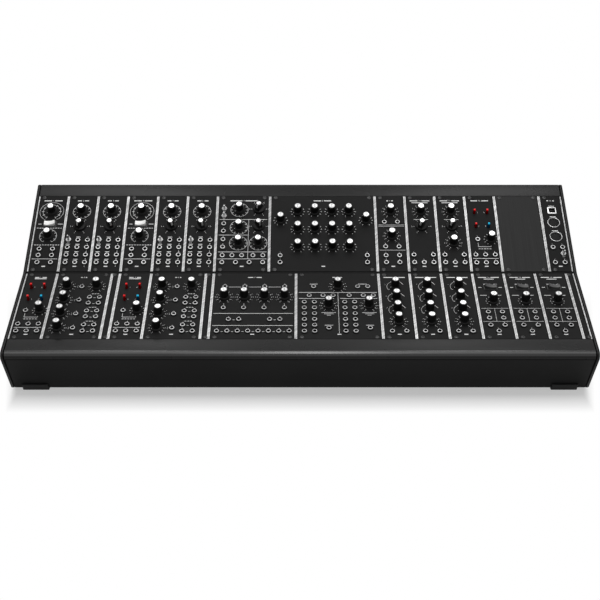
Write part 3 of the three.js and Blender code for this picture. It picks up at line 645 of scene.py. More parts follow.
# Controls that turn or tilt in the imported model, by module, kind and number in its table
LOOSE = {
    ("driver_1", "knobs", 0): "driver_1_knob",
    ("driver_1", "rockers", 0): "driver_1_rocker",
    ("oscillator_1", "knobs", 0): "oscillator_1_knob",
    ("oscillator_1", "selectors", 0): "oscillator_1_selector",
    ("oscillator_1", "toggles", 0): "oscillator_1_toggle",
    ("modulation", "knobs", 1): "modulation_knob",
    ("modulation", "selectors", 0): "modulation_selector",
    ("filter_bank", "knobs", 0): "filter_bank_knob",
    ("filter_1", "knobs", 0): "filter_1_knob",
    ("filter_2", "selectors", 0): "filter_2_selector",
    ("filter_3", "knobs", 1): "filter_3_knob",
    ("voltage_1", "levers", 0): "voltage_1_red_lever",
    ("voltage_1", "levers", 3): "voltage_1_blue_lever",
    ("mixer_1", "knobs", 4): "mixer_1_knob",
    ("attenuator", "knobs", 0): "attenuator_knob",
    ("router", "knobs", 0): "router_knob",
    ("envelope_1", "knobs", 0): "envelope_1_knob",
    ("amplifier_1", "rockers", 0): "amplifier_1_rocker",
    ("amplifier_1", "knobs", 0): "amplifier_1_knob",
}
print("modules:", len(UPPER_ROW) + len(LOWER_ROW), "loose controls:", len(LOOSE))

# %% [markdown]
# The case is the same side view all the way across: a lip with a round nose, two slopes, a
# crest, a shoulder and an upright back. The imported model gives the front edge and the rack grid
# gives the width; the slopes and lengths of this side view are named here, and the two rows stand on it.
# %% Side view of the case
LOWER_SLOPE = 15
UPPER_SLOPE = 30
FRONT_LIP = 26.6
REAR_LIP = 22.6
ROW_GAP = 3.2
SHOULDER = 58.6
FLOOR_DROP = 65.5
FRONT_INSET = 34.4
FOOT_HEIGHT = 3.0
RACK_WIDTH = RACK_UNITS * PITCH
CHEEK_THICKNESS = 4.9
SEAT_GAP = 0.3
INNER_HALF = RACK_WIDTH / 2 - SEAT_GAP


def on_slope(start, slope, along, above):
    """A point of the side view by its distance along a slope and its height square to it."""
    turn = math.radians(slope)
    return Vector(
        (
            start[0] + along * math.cos(turn) - above * math.sin(turn),
            start[1] + along * math.sin(turn) + above * math.cos(turn),
        )
    )


NOSE = Vector((0, 0))
LOWER_FRONT = on_slope(NOSE, LOWER_SLOPE, FRONT_LIP, 0)
LOWER_REAR = on_slope(LOWER_FRONT, LOWER_SLOPE, PANEL_HEIGHT, 0)
UPPER_FRONT = on_slope(LOWER_REAR, UPPER_SLOPE, ROW_GAP, 0)
UPPER_REAR = on_slope(UPPER_FRONT, UPPER_SLOPE, PANEL_HEIGHT, 0)
CREST = on_slope(UPPER_REAR, UPPER_SLOPE, REAR_LIP, 0)
SHOULDER_END = on_slope(CREST, UPPER_SLOPE, 0, -SHOULDER)
CHIN = Vector((1.5, -8))
FRONT_HEEL = Vector((FRONT_INSET, -FLOOR_DROP))
REAR_HEEL = Vector((SHOULDER_END.x, -FLOOR_DROP))
NOSE_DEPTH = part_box("left_cheek")[0].y / MM
NOSE_HEIGHT = FLOOR_DROP + FOOT_HEIGHT
CASE_PLACE = Matrix.Translation((0, NOSE_DEPTH, NOSE_HEIGHT))


def row_place(start, slope):
    """The frame of a row: x from its left end, y up its slope, z out of its panels."""
    corner = Matrix.Translation((-RACK_WIDTH / 2, start.x + NOSE_DEPTH, start.y + NOSE_HEIGHT))
    return corner @ Matrix.Rotation(math.radians(slope), 4, "X")


UPPER_PLACE = row_place(UPPER_FRONT, UPPER_SLOPE)
LOWER_PLACE = row_place(LOWER_FRONT, LOWER_SLOPE)
print("nose at depth", round(NOSE_DEPTH, 3), "crest height", round(CREST.y + NOSE_HEIGHT, 1))

# %% [markdown]
# A skirted knob is the main control of the instrument. Its skirt is a low cone, its grip is
# fluted so that fingers hold it, and its top is a spun aluminium disc set into a rim. The
# outline is spun in forty steps, then every other column of the grip is drawn in for flutes.
# A white dot on the skirt shows where it stands. The shaft below turns with it.
# %% Skirted knob
SHAFT_RADIUS = 3.0
SHAFT_DEPTH = 7.0
KNOB_STEPS = 40
FLUTE_SHARE = 0.93
GRIP_FOOT = 5.6
GRIP_TOP = 5.05
CAP_RADIUS = 4.05

knob_outline = [
    (0, -SHAFT_DEPTH),
    (SHAFT_RADIUS - 0.2, -SHAFT_DEPTH),
    (SHAFT_RADIUS - 0.2, 0.6),
    (6.75, 0.6),
    (6.95, 0.8),
    (6.95, 1.3),
    (6.1, 2.3),
    (GRIP_FOOT, 2.5),
    (GRIP_TOP, 11.9),
    (4.85, 12.45),
    (4.55, 12.75),
    (CAP_RADIUS + 0.1, 12.75),
    (CAP_RADIUS + 0.05, 12.4),
    (0, 12.4),
]
knob_body = turned(knob_outline, KNOB_STEPS)
column_step = math.tau / KNOB_STEPS
for vert in knob_body.vertices:
    column = round(math.atan2(vert.co.y, vert.co.x) / column_step)
    if column % 2 and 2.4 < vert.co.z < 12.0 and vert.co.xy.length > CAP_RADIUS + 0.2:
        vert.co.xy *= FLUTE_SHARE
cap_outline = [(0, 12.1), (CAP_RADIUS, 12.1), (CAP_RADIUS, 12.85), (3.8, 13.1), (2.4, 13.14), (0, 13.16)]
knob_cap = turned(cap_outline, 28, look=1)
index_dot = turned([(0, -0.3), (0.5, -0.3), (0.5, 0.12), (0, 0.12)], 8, look=2)
dot_place = Matrix.Translation((0, 6.5, 1.8)) @ Matrix.Rotation(math.radians(-50), 4, "X")
KNOB = assembled(knob_body, knob_cap, (index_dot, dot_place))
KNOB_LOOKS = [knob_black, cap_aluminium, print_ink]
print("knob faces:", len(KNOB.polygons))

# %% [markdown]
# A pointer selector clicks between positions. It has a round skirt and a tall tapered bar that
# the hand turns, with a small bright cap on top and a bright inlay high on the end that points.
# The bar is a box whose top is drawn in, bevelled like the moulded part.
# %% Pointer selector
BAR_WIDTH = 6.4
BAR_LOW = 2.6
BAR_HIGH = 12.0
BAR_FOOT_LENGTH = 13.6
BAR_TOP_LENGTH = 7.0
LINE_SHARE = 0.74
selector_outline = [
    (0, -SHAFT_DEPTH),
    (SHAFT_RADIUS - 0.2, -SHAFT_DEPTH),
    (SHAFT_RADIUS - 0.2, 0.6),
    (7.7, 0.6),
    (7.95, 0.9),
    (7.95, 1.7),
    (7.55, 2.6),
    (6.9, 2.95),
    (0, 2.95),
]
selector_skirt = turned(selector_outline, 32)
bar_bmesh = bmesh.new()
bmesh.ops.create_cube(bar_bmesh, size=1)
for vert in bar_bmesh.verts:
    top = vert.co.z > 0
    length = BAR_TOP_LENGTH if top else BAR_FOOT_LENGTH
    width = BAR_WIDTH if top else BAR_WIDTH - 0.2
    vert.co = (vert.co.x * width, vert.co.y * length, BAR_HIGH if top else BAR_LOW)
round_edges(bar_bmesh, bar_bmesh.edges[:], 0.8, 3)
selector_bar = keep_shape(bar_bmesh, 0)
selector_cap = turned([(0, 11.6), (3.1, 11.6), (3.1, 12.9), (2.8, 13.2), (0, 13.3)], 20, look=1)
line_slope = math.atan2((BAR_FOOT_LENGTH - BAR_TOP_LENGTH) / 2, BAR_HIGH - BAR_LOW)
line_depth = (BAR_FOOT_LENGTH + (BAR_TOP_LENGTH - BAR_FOOT_LENGTH) * LINE_SHARE) / 2
pointer_line = boxed((-1.2, -0.12, -2.2), (1.2, 0.12, 2.2), 0.05, 1, look=2)
line_place = Matrix.Translation((0, line_depth, BAR_LOW + (BAR_HIGH - BAR_LOW) * LINE_SHARE))
line_place = line_place @ Matrix.Rotation(line_slope, 4, "X")
SELECTOR = assembled(selector_skirt, selector_bar, selector_cap, (pointer_line, line_place))
SELECTOR_LOOKS = [knob_black, cap_aluminium, inlay_bright]
print("selector faces:", len(SELECTOR.polygons))

# %% [markdown]
# The smaller controls: a rocker whose dished face is higher at one end, a flat lever with a
# rounded tip, and a bat toggle that grows towards its tip and stands in a threaded nut.
# %% Rocker, lever and toggle
ROCKER_HALF = 7.2
ROCKER_LENGTH = 6.6
rocker_outline = [
    (-ROCKER_HALF, 1.1),
    (-4.5, -3.0),
    (4.5, -3.0),
    (ROCKER_HALF, 1.1),
    (ROCKER_HALF - 0.3, 4.4),
    (4.4, 3.45),
    (2.0, 3.0),
    (0, 2.9),
    (-2.0, 3.0),
    (-4.4, 3.45),
    (-ROCKER_HALF + 0.3, 4.4),
]
ROCKER = drawn(rocker_outline, ROCKER_LENGTH, rounding=0.22)
ROCKER_TILT = 8

LEVER_PIVOT = 2.4
LEVER = boxed((-1.35, -1.5, -1.3), (1.35, 1.5, LEVER_PIVOT + 7), 0.6, 3)
TOGGLE_PIVOT = 1.0
BAT = turned(
    [(0, -1.0), (1.05, -1.0), (1.05, 3.0), (1.2, 6.0), (1.48, 8.6), (1.4, 9.7), (1.0, 10.35), (0, 10.55)], 14
)
toggle_nut = turned([(1.7, -1.6), (3.75, -1.6), (3.75, 0.9), (3.4, 1.1), (1.7, 1.1)], 6)
toggle_bush = turned([(1.62, -1.6), (2.6, -1.6), (2.6, 1.45), (2.45, 1.6), (1.62, 1.6)], 16)
print("rocker, lever, bat:", [len(s.polygons) for s in (ROCKER, LEVER, BAT)])

# %% [markdown]
# Holes, grooves and the cross in a screw's head are cut with Blender's Boolean modifier, whose
# result is kept as a new loose mesh. The cutters are shapes of the same kind as the pieces.
# %% Helper for cutting
def carved(shape, cutter):
    """The first shape with the second one cut out of it."""
    blank = bpy.data.objects.new("blank", shape)
    tool = bpy.data.objects.new("tool", cutter)
    for item in (blank, tool):
        bpy.context.scene.collection.objects.link(item)
    change = blank.modifiers.new("cut", "BOOLEAN")
    change.operation = "DIFFERENCE"
    change.solver = "MANIFOLD"
    change.object = tool
    done = blank.evaluated_get(bpy.context.evaluated_depsgraph_get())
    result = bpy.data.meshes.new_from_object(done)
    for item in (blank, tool):
        bpy.data.objects.remove(item)
    return result


def recoloured(shape, choose):
    """Gives each face a finish number by its distance from the axis and its height."""
    for face in shape.polygons:
        face.material_index = choose(face.center.xy.length, face.center.z)
    return shape


# %% [markdown]
# A rocker stands in a low black frame: a flat block with a window cut out of it, just wide enough
# for the rocker to tip.
# %% Rocker bezel
BEZEL_RIM = 1.1
BEZEL_HEIGHT = 0.8
ROCKER_CLEARANCE = 0.45
window_x, window_y = ROCKER_HALF + ROCKER_CLEARANCE, ROCKER_LENGTH / 2 + ROCKER_CLEARANCE
block_x, block_y = window_x + BEZEL_RIM, window_y + BEZEL_RIM
bezel_block = boxed((-block_x, -block_y, -0.1), (block_x, block_y, BEZEL_HEIGHT), 0.3, 2)
bezel_window = boxed((-window_x, -window_y, -2), (window_x, window_y, 2), 0.2, 1)
BEZEL = carved(bezel_block, bezel_window)
print("bezel faces:", len(BEZEL.polygons))

# %% [markdown]
# A patch socket is held by a dark nut and shows a bright bush, with painted shade in its bore.
# There are 230 of them, so the whole socket is one spun outline of twelve steps with a finish for
# each zone. The fixing screws are black pan heads with a cross recess cut into them.
# %% Patch socket and fixing screw
SOCKET_BORE = 2.15
socket_outline = [
    (0, -4.2),
    (SOCKET_BORE, -4.2),
    (SOCKET_BORE, 1.45),
    (2.3, 1.68),
    (2.85, 1.68),
    (3.05, 1.45),
    (3.1, 0.95),
    (4.05, 0.9),
    (4.15, -0.05),
    (2.9, -4.6),
    (0, -4.6),
]


# Finish numbers by zone: nickel on the bush, painted shade in the bore, black on the nut.
def socket_zone(radius, height):
    if radius < 2.18:
        return 1
    return 0 if height > 0.98 and radius < 3.09 else 2


SOCKET = recoloured(turned(socket_outline, 12), socket_zone)
SOCKET_LOOKS = [socket_nickel, painted_recess_shade, nut_black]

SCREW_RADIUS = 2.6
SLOT_HALF = (1.5, 0.28)
screw_outline = [(0, -0.6), (SCREW_RADIUS, -0.6), (SCREW_RADIUS, 0.3), (2.15, 0.85), (1.2, 1.15), (0, 1.2)]
SCREW = turned(screw_outline, 12)
for slot_x, slot_y in (SLOT_HALF, SLOT_HALF[::-1]):
    SCREW = carved(SCREW, boxed((-slot_x, -slot_y, 0.45), (slot_x, slot_y, 2)))
print("socket faces:", len(SOCKET.polygons), "screw faces:", len(SCREW.polygons))

# %% [markdown]
# The interface module has a square computer port in a bright shell, with a dark mouth and a
# tongue, and two round five-pin sockets whose bright rims hold a dark insert with five holes.
# %% Computer port and round sockets
port_block = boxed((-6, -5.5, -12), (6, 5.5, 1), 0.7, 3, look=0)
port_mouth = boxed((-4.5, -4.0, -6), (4.5, 4.0, 2))
port_shell = carved(port_block, port_mouth)
port_lining = carved(
    boxed((-4.55, -4.05, -6.1), (4.55, 4.05, 0.8), look=1), boxed((-4.2, -3.7, -5.8), (4.2, 3.7, 2))
)
port_lining = recoloured(port_lining, lambda radius, height: 1)
port_tongue = boxed((-2.8, -1.6, -5.9), (2.8, 1.6, 0), 0.25, 2, look=1)
PORT = assembled(port_shell, port_lining, port_tongue)

DIN_RADIUS = 8.3
din_ring_outline = [(7.6, -6), (DIN_RADIUS, -6), (DIN_RADIUS, 0.8), (8.15, 1.1)]
din_ring_outline += [(7.95, 1.2), (7.75, 1.1), (7.6, 0.8), (7.6, -6)]
din_ring = turned(din_ring_outline, 32, look=0)
din_insert = turned([(0, -6), (7.65, -6), (7.65, 0.3), (7.4, 0.45), (0, 0.45)], 32, look=1)
for pin_turn in (-90, -45, 0, 45, 90):
    pin_hole = turned([(0, -4), (0.75, -4), (0.75, 2), (0, 2)], 8)
    pin_place = Matrix.Rotation(math.radians(pin_turn), 4, "Z") @ Matrix.Translation((0, 4.9, 0))
    din_insert = carved(din_insert, assembled((pin_hole, pin_place)))
DIN = assembled(din_ring, recoloured(din_insert, lambda radius, height: 1))
print("port faces:", len(PORT.polygons), "round socket faces:", len(DIN.polygons))

# %% [markdown]
# The print is silk-screened on the panels: arcs, ticks and plain numbers round the controls,
# rules between the groups. On a real panel the ink has a slight thickness. Each mark here is a
# thin closed shape that stands a twentieth of a millimetre proud, so it stays sharp from close
# by and casts no shadow of its own.
# %% Helpers for print
INK_LOW = -0.02
INK_HIGH = 0.05
unit_rule = boxed((0, -0.5, INK_LOW), (1, 0.5, INK_HIGH))
ink_dot = turned([(0, INK_LOW), (0.5, INK_LOW), (0.5, INK_HIGH), (0, INK_HIGH)], 8)
ink_shapes = {}


def around(x, y, turn, radius):
    """The point at a clockwise angle from straight up, so far from a centre."""
    return x + math.sin(math.radians(turn)) * radius, y + math.cos(math.radians(turn)) * radius


def rule(bm, x0, y0, x1, y1, width=0.45):
    """A straight line between two points."""
    along = Vector((x1 - x0, y1 - y0))
    turn = Matrix.Rotation(math.atan2(along.y, along.x), 4, "Z")
    size = Matrix.Diagonal((along.length, width, 1, 1))
    stamp(bm, unit_rule, Matrix.Translation((x0, y0, 0)) @ turn @ size)


def dot(bm, x, y, size=0.9):
    stamp(bm, ink_dot, Matrix.Translation((x, y, 0)) @ Matrix.Diagonal((size, size, 1, 1)))


def tick(bm, x, y, turn, inner, outer, width=0.4):
    """A short line that points at a control, at a clockwise angle from straight up."""
    rule(bm, *around(x, y, turn, inner), *around(x, y, turn, outer), width)


def arc(bm, x, y, radius, start=-150, end=150, width=0.35):
    """Part of a circle about a control, clockwise from one angle to the other."""
    key = (radius, end - start, width)
    if key not in ink_shapes:
        low, high = radius - width / 2, radius + width / 2
        outline = [(low, INK_LOW), (high, INK_LOW), (high, INK_HIGH), (low, INK_HIGH)]
        if end - start >= 360:
            outline.append(outline[0])
        swept = math.tau if end - start >= 360 else math.radians(end - start)
        ink_shapes[key] = turned(outline, round((end - start) / 10), angle=swept)
    stamp(bm, ink_shapes[key], at(x, y, 0, end - 90))


FIGURE_SHARE = 0.7


def figure(bm, x, y, text, height=1.8):
    """A plain number, centred on a point."""
    key = (text, height)
    if key not in ink_shapes:
        curve = bpy.data.curves.new("figure", "FONT")
        curve.body = text
        curve.size = height / FIGURE_SHARE
        curve.align_x = "CENTER"
        curve.align_y = "CENTER"
        curve.resolution_u = 1
        curve.extrude = INK_HIGH
        writer = bpy.data.objects.new("figure", curve)
        letters = bmesh.new()
        drawn_text = bpy.data.meshes.new_from_object(writer)
        letters.from_mesh(drawn_text)
        bmesh.ops.remove_doubles(letters, verts=letters.verts, dist=MERGE)
        ink_shapes[key] = keep_shape(letters, 0)
        bpy.data.objects.remove(writer)
    stamp(bm, ink_shapes[key], Matrix.Translation((x, y, 0)))


def scale_of_numbers(bm, x, y, inner=8.3, outer=9.8, written=11.4, height=1.5):
    """Eleven ticks from hour seven round to hour five, numbered from 0 to 10 or left bare."""
    for step in range(11):
        turn = 210 + 30 * step
        tick(bm, x, y, turn, inner, outer, 0.55)
        if written:
            figure(bm, *around(x, y, turn, written), str(step), height)


print("ink stands", INK_HIGH, "mm proud")

# %% [markdown]
# Each kind of module has its own print. The dials differ most: two open arcs round the upper
# knob of a driver, an arc with inward ticks on an oscillator, closed circles on the modulation
# module, bare ticks on the filter bank, and numbered ticks elsewhere. Heights on the panel are
# counted down from its top edge, as they were measured.
# %% Print of each kind of module
def below(top):
    """The height on a panel of a mark that lies so many millimetres under its top edge."""
    return PANEL_HEIGHT - top


def spots(kind, group):
    return [(column * PITCH, (1 - row) * PANEL_HEIGHT) for column, row in KINDS[kind].get(group, [])]


def ringed_dial(bm, x, y, radius, inner, outer, start=-150, end=150):
    """A ring or an open arc about a knob, with thick ticks from one radius to another."""
    arc(bm, x, y, radius, start, end)
    for turn in range(start, end if end - start == 360 else end + 1, 30):
        tick(bm, x, y, turn, inner, outer, 0.55)


def joined(bm, places, width=0.5):
    """Short rules between neighbours in a line of sockets."""
    for (x0, y), (x1, _) in zip(places, places[1:]):
        rule(bm, x0 + 5, y, x1 - 5, y, width)


def level_rule(bm, top, left, right, width=0.6):
    rule(bm, left, below(top), right, below(top), width)


def dashes(bm, top, left, right, width=0.8, dash=2.4, step=3.5):
    """A row of short thick marks from left to right."""
    count = max(1, round((right - left + step - dash) / step))
    for index in range(count):
        start = left + index * step
        level_rule(bm, top, start, min(start + dash, right), width)


def print_dials(bm, kind):
    for index, (x, y) in enumerate(spots(kind, "knobs")):
        if kind == "driver" and index == 0:
            arc(bm, x, y, 16)
            ringed_dial(bm, x, y, 11.8, 10, 13.4)
        elif kind == "driver":
            ringed_dial(bm, x, y, 11.4, 9.3, 11.4)
        elif kind in ("oscillator", "modulation"):
            ringed_dial(bm, x, y, 11.8, 9.4, 11.8, 0, 360)
        elif kind == "filter_bank":
            scale_of_numbers(bm, x, y, 8.0, 9.6, None)
        elif kind == "voltage":
            scale_of_numbers(bm, x, y, 8.2, 9.6, None)
        elif kind == "amplifier":
            scale_of_numbers(bm, x, y, 7.9, 9.2, None)
            rule(bm, x - 15, y + 11.4, x - 6.5, y + 11.4, 0.8)
            rule(bm, x + 7.5, y + 11.4, x + 12, y + 11.4, 0.8)
        elif kind == "envelope" and index < 3:
            arc(bm, x, y, 10.6, -125, -25, 0.3)
            tick(bm, x, y, -125, 8.8, 10.6, 0.4)
            tick(bm, x, y, -25, 10.6, 12.4, 0.4)
            figure(bm, x - 12.6, y + 4.5, str(index + 1), 1.5)
            rule(bm, x + 4.5, y + 12.8, x + 10.5, y + 4.5, 0.5)
        elif kind == "mixer":
            scale_of_numbers(bm, x, y, 8.3, 9.4, 10.9, 1.2)
        else:
            scale_of_numbers(bm, x, y, 8.3, 9.6, 11.2, 1.4)
        if kind == "router" and index:
            for fall, half in ((13.3, 9), (15.8, 6), (18.4, 2.5)):
                rule(bm, x - half, y - fall, x + half, y - fall, 0.6)
    for x, y in spots(kind, "selectors"):
        for step in range(6):
            turn = 210 + 60 * step
            dot(bm, *around(x, y, turn, 10), 0.9)
            figure(bm, *around(x, y, turn, 12.6), str(step + 1), 1.9)


def print_small_controls(bm, kind):
    for index, (x, y) in enumerate(spots(kind, "sockets")):
        if kind == "oscillator" and index % 3 != 1:
            rule(bm, x - 2.7, y + 5.7, x + 2.7, y + 5.7, 0.9)
        elif kind != "router":
            figure(bm, x, y + 5.6, str(index + 1), 1.7)
    for x, y in spots(kind, "toggles"):
        dot(bm, x, y + 5.4, 1.1)
        dot(bm, x - 0.9, y - 5.4, 1.1)
        dot(bm, x + 0.9, y - 5.4, 1.1)
    for x, y in spots(kind, "rockers"):
        rule(bm, x - 15.4, y, x - 11.4, y, 0.9)
        rule(bm, x + 10.6, y, x + (14.8 if kind == "amplifier" else 17.0), y, 0.9)
        if kind == "amplifier":
            rule(bm, x - 8.5, y + 6.6, x + 1, y + 6.6, 0.9)
            rule(bm, x + 4.5, y + 6.6, x + 8.5, y + 6.6, 0.9)
    for index, (x, y) in enumerate(spots(kind, "levers")):
        figure(bm, x + (4.1 if x < 4 * PITCH else -3.9), y + 0.5, str(index + 1), 1.7)
    for x, y in spots(kind, "ports"):
        rule(bm, x - 4, y + 7.9, x + 4, y + 7.9, 1.0)
    for x, y in spots(kind, "dins"):
        rule(bm, x - 4, y + 10.3, x + 4, y + 10.3, 1.0)


def print_rules(bm, kind, width):
    if kind == "driver":
        dashes(bm, 56, 3.6, 37)
        dashes(bm, 84.5, 3.6, 37)
        level_rule(bm, 107.8, 3.5, width - 3.5)
    elif kind == "oscillator":
        for x, y in spots(kind, "sockets")[1::3]:
            rule(bm, x, y - 4.8, x, y - 6.3, 0.5)
    elif kind == "modulation":
        level_rule(bm, 41, 3.6, width - 3.6)
        level_rule(bm, 67.8, 3.6, 43)
        level_rule(bm, 96.2, 3.6, width - 3.6)
        level_rule(bm, 107.7, 3.6, width - 3.6)
        rule(bm, 43, below(41), 43, below(107.7), 0.4)
    elif kind == "low_filter":
        for top in (50.4, 52.6, 93.2):
            level_rule(bm, top, 3.6, width - 3.0, 0.45)
    elif kind in ("short_filter", "long_filter"):
        level_rule(bm, 41, width / 2 - 9.6, width / 2 + 9.6)
    elif kind == "voltage":
        level_rule(bm, 87.5, 12.5, 29.3)
        rule(bm, 12.5, below(87.5), 12.5, below(80.5), 0.4)
        rule(bm, 29.3, below(87.5), 29.3, below(85.5), 0.4)
        dashes(bm, 91, 12.5, 30.4)
        level_rule(bm, 107, 3.6, width - 3.6)
    elif kind == "attenuator":
        level_rule(bm, 80.5, 3.6, width - 3.6)
        level_rule(bm, 103.6, 3.6, width - 3.6)
        sockets = spots(kind, "sockets")
        joined(bm, sockets[:4])
        for x, y in sockets[4:8]:
            rule(bm, x, y + 7.2, x, y + 9.4, 0.5)
        for line in (sockets[8:10], sockets[10:12], sockets[12:]):
            joined(bm, line)
    elif kind == "router":
        level_rule(bm, 39, 3.6, width - 3.6)
        level_rule(bm, 51, 3.6, 48)
        rule(bm, 53.3, below(39), 53.3, below(118), 0.4)
        inlets = spots(kind, "sockets")
        for x, y in (inlets[0], *inlets[-2:]):
            rule(bm, x - 5, y + 6.0, x + 5, y + 6.0, 0.7)
        rule(bm, inlets[1][0] + 1, inlets[1][1] + 6.0, inlets[2][0] - 1, inlets[1][1] + 6.0, 0.7)
        level_rule(bm, 51, 56, width - 3.6)
    elif kind == "mixer":
        for (x0, y0), (x1, y1) in zip(spots(kind, "knobs")[:4], spots(kind, "sockets")[:4]):
            for lift in (-1.2, 1.2):
                rule(bm, x0 + 13.2, y0 + lift, x1 - 4.9, y0 + lift, 0.5)
        pairs = spots(kind, "sockets")[4::2]
        for index, (x, y) in enumerate(pairs):
            rule(bm, x + 5, y, x + 7.7, y, 0.5)
            if index % 2 == 0:
                dashes(bm, PANEL_HEIGHT - y - 7.9, x + 1.8, x + 10.9)
    elif kind == "amplifier":
        level_rule(bm, 70.6, 3.6, width - 3.0, 0.4)
        level_rule(bm, 95.7, 3.6, width - 3.0, 0.4)
        rule(bm, 20.3, below(70.6), 20.3, below(95.7), 0.35)


# Half the width of the bar that each kind of module carries at its top
TITLE_REACH = {
    "driver": 12.3,
    "oscillator": 7.5,
    "modulation": 18.4,
    "filter_bank": 11.9,
    "low_filter": 4.4,
    "short_filter": 13.2,
    "long_filter": 13.2,
    "router": 6.3,
    "mixer": 3.8,
    "attenuator": 8.9,
    "interface": 5.0,
    "voltage": 7.5,
    "envelope": 13.7,
    "amplifier": 13.4,
}
TITLE_TOP = 8.3
FOOT_MARK_TOP = 120


def print_title(bm, middle, top, reach, number):
    """A number flanked by two thick rules."""
    figure(bm, middle, below(top), str(number), 2.1)
    clear = 1.4 + 0.7 * len(str(number))
    for side in (-1, 1):
        rule(bm, middle + side * clear, below(top), middle + side * reach, below(top), 1.4)


def print_module(kind, units, number):
    """All the print of one module, with its place number in the title bar on top."""
    bm = bmesh.new()
    width = units * PITCH
    middle = width / 2
    reach = 12 if kind == "voltage" and number > 9 else TITLE_REACH.get(kind, 9.5)
    print_title(bm, middle, TITLE_TOP, reach, number)
    if kind == "voltage" and number < 10:
        level_rule(bm, TITLE_TOP + 2.7, middle - 7.5, middle + 7.5, 1.3)
    if kind == "amplifier":
        level_rule(bm, TITLE_TOP + 3.4, middle - 6.5, middle + 6.5, 1.2)
    if kind in ("short_filter", "long_filter"):
        level_rule(bm, TITLE_TOP + 3.4, middle - 11, middle + 11, 1.0)
    rule(bm, middle - 2.4, below(FOOT_MARK_TOP), middle + 2.4, below(FOOT_MARK_TOP), 1.5)
    print_dials(bm, kind)
    print_small_controls(bm, kind)
    print_rules(bm, kind, width)
    return bm


print("title bars:", len(TITLE_REACH))

# %% [markdown]
# A module is a 2 mm anodised plate with real holes, two bright strips along its sides that a
# fine groove sets off, its screws, its print and a circuit board behind it that carries the
# sockets' and potentiometers' bodies. All of these ride on the case. The controls that turn or
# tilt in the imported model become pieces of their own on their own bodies, and stay in place.
# %% Helpers for a module
BAND_START = 0.08
BAND_WIDTH = 1.62
BAND_RISE = 0.35
BAND_TOP_GAP = 0.8
GROOVE_WIDTH = 0.85
GROOVE_DEPTH = 1.2
SCREW_INSET = 7.5
SCREW_ROWS = (3.0, 125.5)
RAIL_WIDTH = 8.6
BOARD_FRONT = -12.0
BOARD_THICKNESS = 1.6
PIN_PITCH = 2.54
POINTER_HOUR = 8
SELECTOR_HOURS = {"oscillator": 5, "modulation": 5, "short_filter": 7, "long_filter": 7}
SELECTOR_REST = 7
TOGGLE_DROP = 10

HOLES = {
    "sockets": turned([(0, -3), (3.1, -3), (3.1, 1), (0, 1)], 12),
    "knobs": turned([(0, -3), (3.6, -3), (3.6, 1), (0, 1)], 16),
    "selectors": turned([(0, -3), (3.6, -3), (3.6, 1), (0, 1)], 16),
    "toggles": turned([(0, -3), (2.2, -3), (2.2, 1), (0, 1)], 12),
    "levers": boxed((-1.95, -2.45, -3), (1.95, 2.45, 1)),
    "rockers": boxed((-8.0, -3.9, -3), (8.0, 3.9, 1)),
    "ports": boxed((-6.1, -5.6, -3), (6.1, 5.6, 1)),
    "dins": turned([(0, -3), (8.4, -3), (8.4, 1), (0, 1)], 24),
}
JACK_BODY = assembled(
    boxed((-4.5, -4.15, BOARD_FRONT - 0.2), (4.5, 4.15, -4.7), 0.4, 1, look=1),
    boxed((-0.4, -4.0, BOARD_FRONT - BOARD_THICKNESS - 1.2), (0.4, -3.2, BOARD_FRONT), look=2),
)
POT_BODY = assembled(
    boxed((-4.8, -4.8, BOARD_FRONT - 0.2), (4.8, 4.8, -7.6), 0.4, 1, look=2),
    boxed((-3, -0.3, BOARD_FRONT - BOARD_THICKNESS - 1.2), (3, 0.3, BOARD_FRONT - BOARD_THICKNESS), look=2),
)
SWITCH_BODY = boxed((-3.5, -6, BOARD_FRONT - 0.2), (3.5, 6, -4.6), 0.4, 1, look=1)
ROCKER_BODY = boxed((-8.4, -4.5, BOARD_FRONT - 0.2), (8.4, 4.5, -4.6), 0.4, 1, look=1)
BODIES = {
    "sockets": JACK_BODY,
    "knobs": POT_BODY,
    "selectors": POT_BODY,
    "toggles": SWITCH_BODY,
    "levers": SWITCH_BODY,
    "rockers": ROCKER_BODY,
}
POWER_HEADER = assembled(
    carved(boxed((-4.5, -14, -8), (4.5, 14, 0), 0.3, 1, look=1), boxed((-3.3, -12.8, -9), (3.3, 12.8, -1.4))),
    *[
        (boxed((-0.3, -0.3, -6.6), (0.3, 0.3, -1.3), look=2), at(side * PIN_PITCH / 2, PIN_PITCH * (step - 3.5)))
        for side in (-1, 1)
        for step in range(8)
    ],
)
print("power header faces:", len(POWER_HEADER.polygons))


def faceplate(kind, width):
    """The plate with its holes and the two grooves beside its bright strips, their walls in painted shade."""
    plate = boxed((PANEL_GAP, 0, -PANEL_THICKNESS), (width - PANEL_GAP, PANEL_HEIGHT, 0), 0.15, 1)
    cutter = bmesh.new()
    band_end = BAND_START + BAND_WIDTH
    for side in (band_end, width - band_end - GROOVE_WIDTH):
        stamp(cutter, boxed((side, -1, -GROOVE_DEPTH), (side + GROOVE_WIDTH, PANEL_HEIGHT + 1, 1)))
    for group, hole in HOLES.items():
        for x, y in spots(kind, group):
            stamp(cutter, hole, at(x, y))
    plate = carved(plate, keep_shape(cutter))
    # Painted shade: the walls of the holes and grooves and the plate's edges take the near-black recess finish.
    for face in plate.polygons:
        face.material_index = 1 if -PANEL_THICKNESS + 0.1 < face.center.z < -0.16 else 0
    return plate


